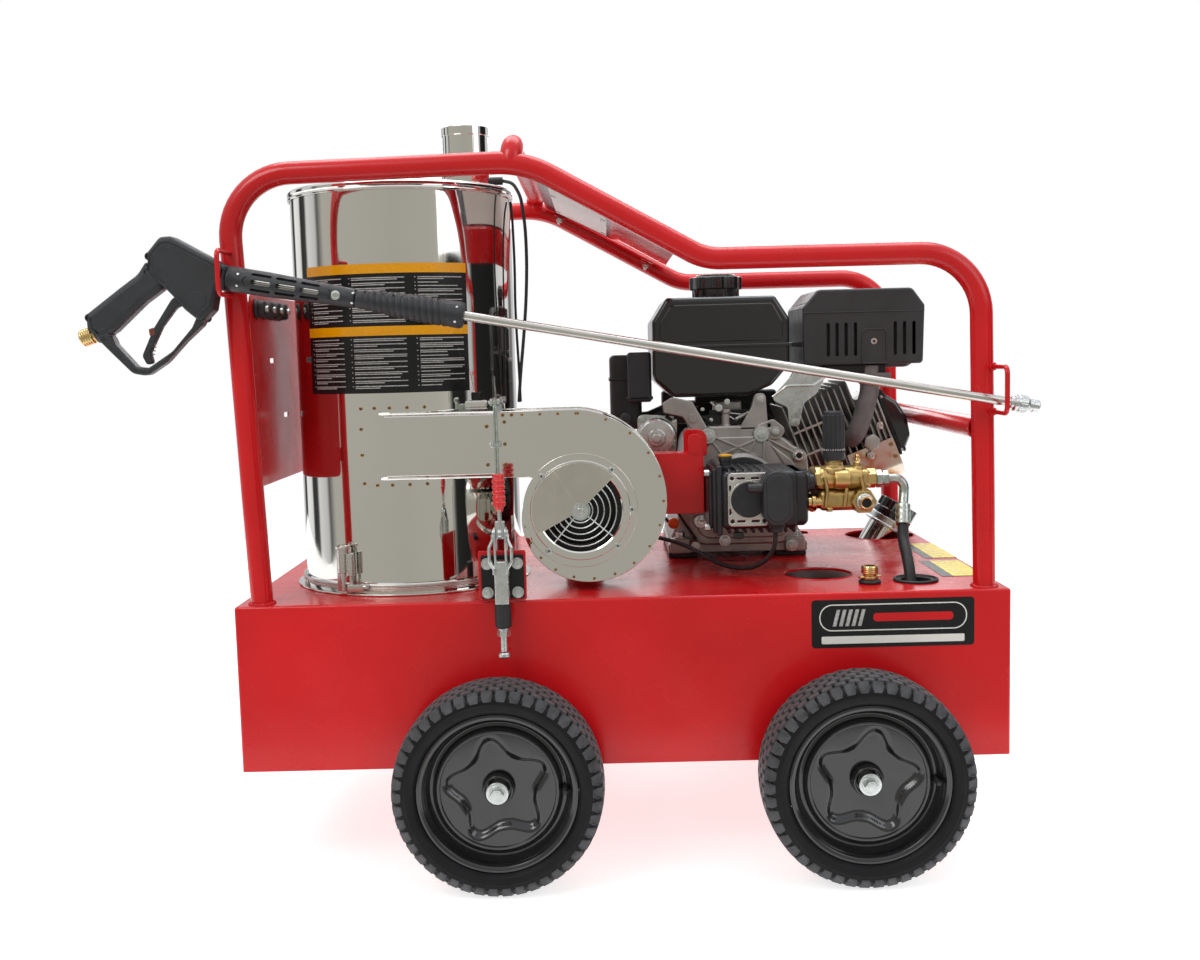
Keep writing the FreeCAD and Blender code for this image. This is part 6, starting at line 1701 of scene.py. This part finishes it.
base_shell()
side_panel_screws()
front_label()
deck_stickers()
axle_pieces()
cage()
nozzle_panel_sheet()
spray_tips()
console_sheet()
wheels()
drum_skin()
drum_cover()
drum_label()
drum_band_latch()
blower_casing()
inlet_guard()
shutter_leaves()
crankcase_casting()
crankcase_front()
finned_cylinder()
lower_shroud()
rocker_cover()
fuel_tank_shell()
lobed_fuel_cap()
muffler_hood()
exhaust()
air_box()
recoil_cover()
pull_handle()
starter_can()
heat_deflector()
carburettor_and_links()
engine_bolts_and_plugs()
pump_casting()
bearing_cover()
flow_switch()
brass_manifold()
pressure_knob()
pressure_fittings()
water_inlet_coupler()
rubber_seals()
filler_tube()
filler_stopper()
blower_arm()
brake_mount()
brake_handle()
brake_rod()
gun_moulding()
gun_lever()
lance_sleeve()
lance_pipe()
wheel_bolts()
dress_nodes()

# ---------------------------------------------------------------- floor, light and camera


def studio():
    # a plain white floor, no larger than what the machine stands on and casts its shadow over
    edge = oblong(-3.2, -0.95, 3.4, 3.2)
    floor_mesh = bpy.data.meshes.new("studio_floor")
    floor_mesh.from_pydata([(x, y, 0) for x, y in edge], [], [(0, 1, 2, 3)])
    floor = bpy.data.objects.new("studio_floor", floor_mesh)
    bpy.context.scene.collection.objects.link(floor)
    paint = material("white_floor", (0.58, 0.58, 0.58), 0.6, spread=0.01, blotch=2)
    glow = paint.node_tree.nodes["Principled BSDF"].inputs
    glow["Emission Color"].default_value = (1, 1, 1, 1)
    glow["Emission Strength"].default_value = 0.72
    floor_mesh.materials.append(paint)

    scene = bpy.context.scene
    world = bpy.data.worlds.new("studio_world")
    scene.world = world
    world.use_nodes = True
    tree = world.node_tree
    tree.nodes.clear()
    out = tree.nodes.new("ShaderNodeOutputWorld")
    backdrop = tree.nodes.new("ShaderNodeBackground")
    room = tree.nodes.new("ShaderNodeBackground")
    mixer = tree.nodes.new("ShaderNodeMixShader")
    rays = tree.nodes.new("ShaderNodeLightPath")
    backdrop.inputs["Color"].default_value = (1, 1, 1, 1)
    backdrop.inputs["Strength"].default_value = 1.0
    room.inputs["Strength"].default_value = 0.62
    # the room that polished steel mirrors: pale ceiling, warm grey ground in front, dark bands at the sides
    where = tree.nodes.new("ShaderNodeTexCoord").outputs["Generated"]
    split = tree.nodes.new("ShaderNodeSeparateXYZ")
    tree.links.new(where, split.inputs[0])
    flip = tree.nodes.new("ShaderNodeMath")
    flip.operation = "MULTIPLY"
    flip.inputs[1].default_value = -1
    tree.links.new(split.outputs["Y"], flip.inputs[0])
    turn = tree.nodes.new("ShaderNodeMath")
    turn.operation = "ARCTAN2"
    tree.links.new(split.outputs["X"], turn.inputs[0])
    tree.links.new(flip.outputs[0], turn.inputs[1])
    share = tree.nodes.new("ShaderNodeMapRange")
    share.inputs["From Min"].default_value = -math.pi
    share.inputs["From Max"].default_value = math.pi
    tree.links.new(turn.outputs[0], share.inputs["Value"])
    bands = tree.nodes.new("ShaderNodeValToRGB")
    tree.links.new(share.outputs[0], bands.inputs["Fac"])
    stops = [(-180, 1.0, 0), (-150, 1.0, 0), (-146, 0.10, 0), (-139, 0.08, 0), (-136, 1.6, 0),
            (-122, 1.4, 0), (-119, 0.05, 0), (-109, 0.1, 0), (-106, 1.3, 0), (-92, 1.0, 0), (-88, 0.15, 0),
            (-80, 0.8, 1), (-40, 0.78, 1), (0, 0.74, 1), (38, 0.78, 1), (50, 0.85, 1), (54, 0.04, 0),
            (70, 0.02, 0), (73, 0.9, 0), (79, 0.9, 0), (82, 0.03, 0), (116, 0.02, 0), (120, 1.2, 0),
            (146, 1.4, 0), (150, 0.2, 0), (158, 0.4, 0), (162, 1.0, 0), (180, 1.0, 0)]
    ramp = bands.color_ramp
    while len(ramp.elements) < len(stops):
        ramp.elements.new(0.5)
    for element, (azimuth, light, warm) in zip(ramp.elements, stops):
        element.position = (azimuth + 180) / 360
        element.color = (light, light * (0.97 if warm else 1.0), light * (0.88 if warm else 1.02), 1)
    above = tree.nodes.new("ShaderNodeMapRange")
    above.inputs["From Min"].default_value = 0.25
    above.inputs["From Max"].default_value = 0.7
    tree.links.new(split.outputs["Z"], above.inputs["Value"])
    sky = tree.nodes.new("ShaderNodeMix")
    sky.data_type = "RGBA"
    sky.inputs["B"].default_value = (1.5, 1.53, 1.58, 1)
    tree.links.new(above.outputs[0], sky.inputs["Factor"])
    tree.links.new(bands.outputs["Color"], sky.inputs["A"])
    tree.links.new(sky.outputs["Result"], room.inputs["Color"])
    tree.links.new(rays.outputs["Is Camera Ray"], mixer.inputs[0])
    tree.links.new(room.outputs[0], mixer.inputs[1])
    tree.links.new(backdrop.outputs[0], mixer.inputs[2])
    tree.links.new(mixer.outputs[0], out.inputs["Surface"])

    for name, spot, aim, size, watts, tint in (("key", (-1.8, -2.2, 2.9), (0, 0, 0.5), (1.8, 1.2), 34,
            (1, 0.99, 0.97)), ("fill", (2.4, -1.8, 1.9), (0, 0, 0.5), (1.6, 1.6), 14, (0.96, 0.98, 1)),
            ("top", (0.1, 0.5, 3.2), (0, 0, 0.4), (3.0, 1.6), 52, (0.97, 0.98, 1)),
            ("back", (0.3, 2.9, 1.9), (0, 0, 0.5), (2.4, 1.4), 30, (1, 1, 1))):
        light = bpy.data.lights.new(name, "AREA")
        light.shape = "RECTANGLE"
        light.size, light.size_y = size
        light.energy = watts
        light.color = tint
        lamp = bpy.data.objects.new(name, light)
        lamp.location = spot
        lamp.rotation_euler = (Vector(aim) - Vector(spot)).to_track_quat("-Z", "Y").to_euler()
        scene.collection.objects.link(lamp)


def camera():
    yaw, pitch, roll = -0.0062, 0.0989, 0.0259
    ahead = Vector((math.sin(yaw) * math.cos(pitch), math.cos(yaw) * math.cos(pitch), -math.sin(pitch)))
    right = Vector((math.cos(yaw), -math.sin(yaw), 0))
    up = right.cross(ahead)
    across = right * math.cos(roll) - up * math.sin(roll)
    upward = right * math.sin(roll) + up * math.cos(roll)
    lens = bpy.data.cameras.new("photo_view")
    lens.sensor_width = 36
    lens.lens = 38.156
    lens.clip_end = 60
    viewer = bpy.data.objects.new("photo_view", lens)
    viewer.matrix_world = at(0.061825, -2.11555, 0.7437) @ Matrix((across, upward,
            -ahead)).transposed().to_4x4()
    bpy.context.scene.collection.objects.link(viewer)
    bpy.context.scene.camera = viewer


studio()
camera()
bpy.context.scene.view_settings.view_transform = "Standard"
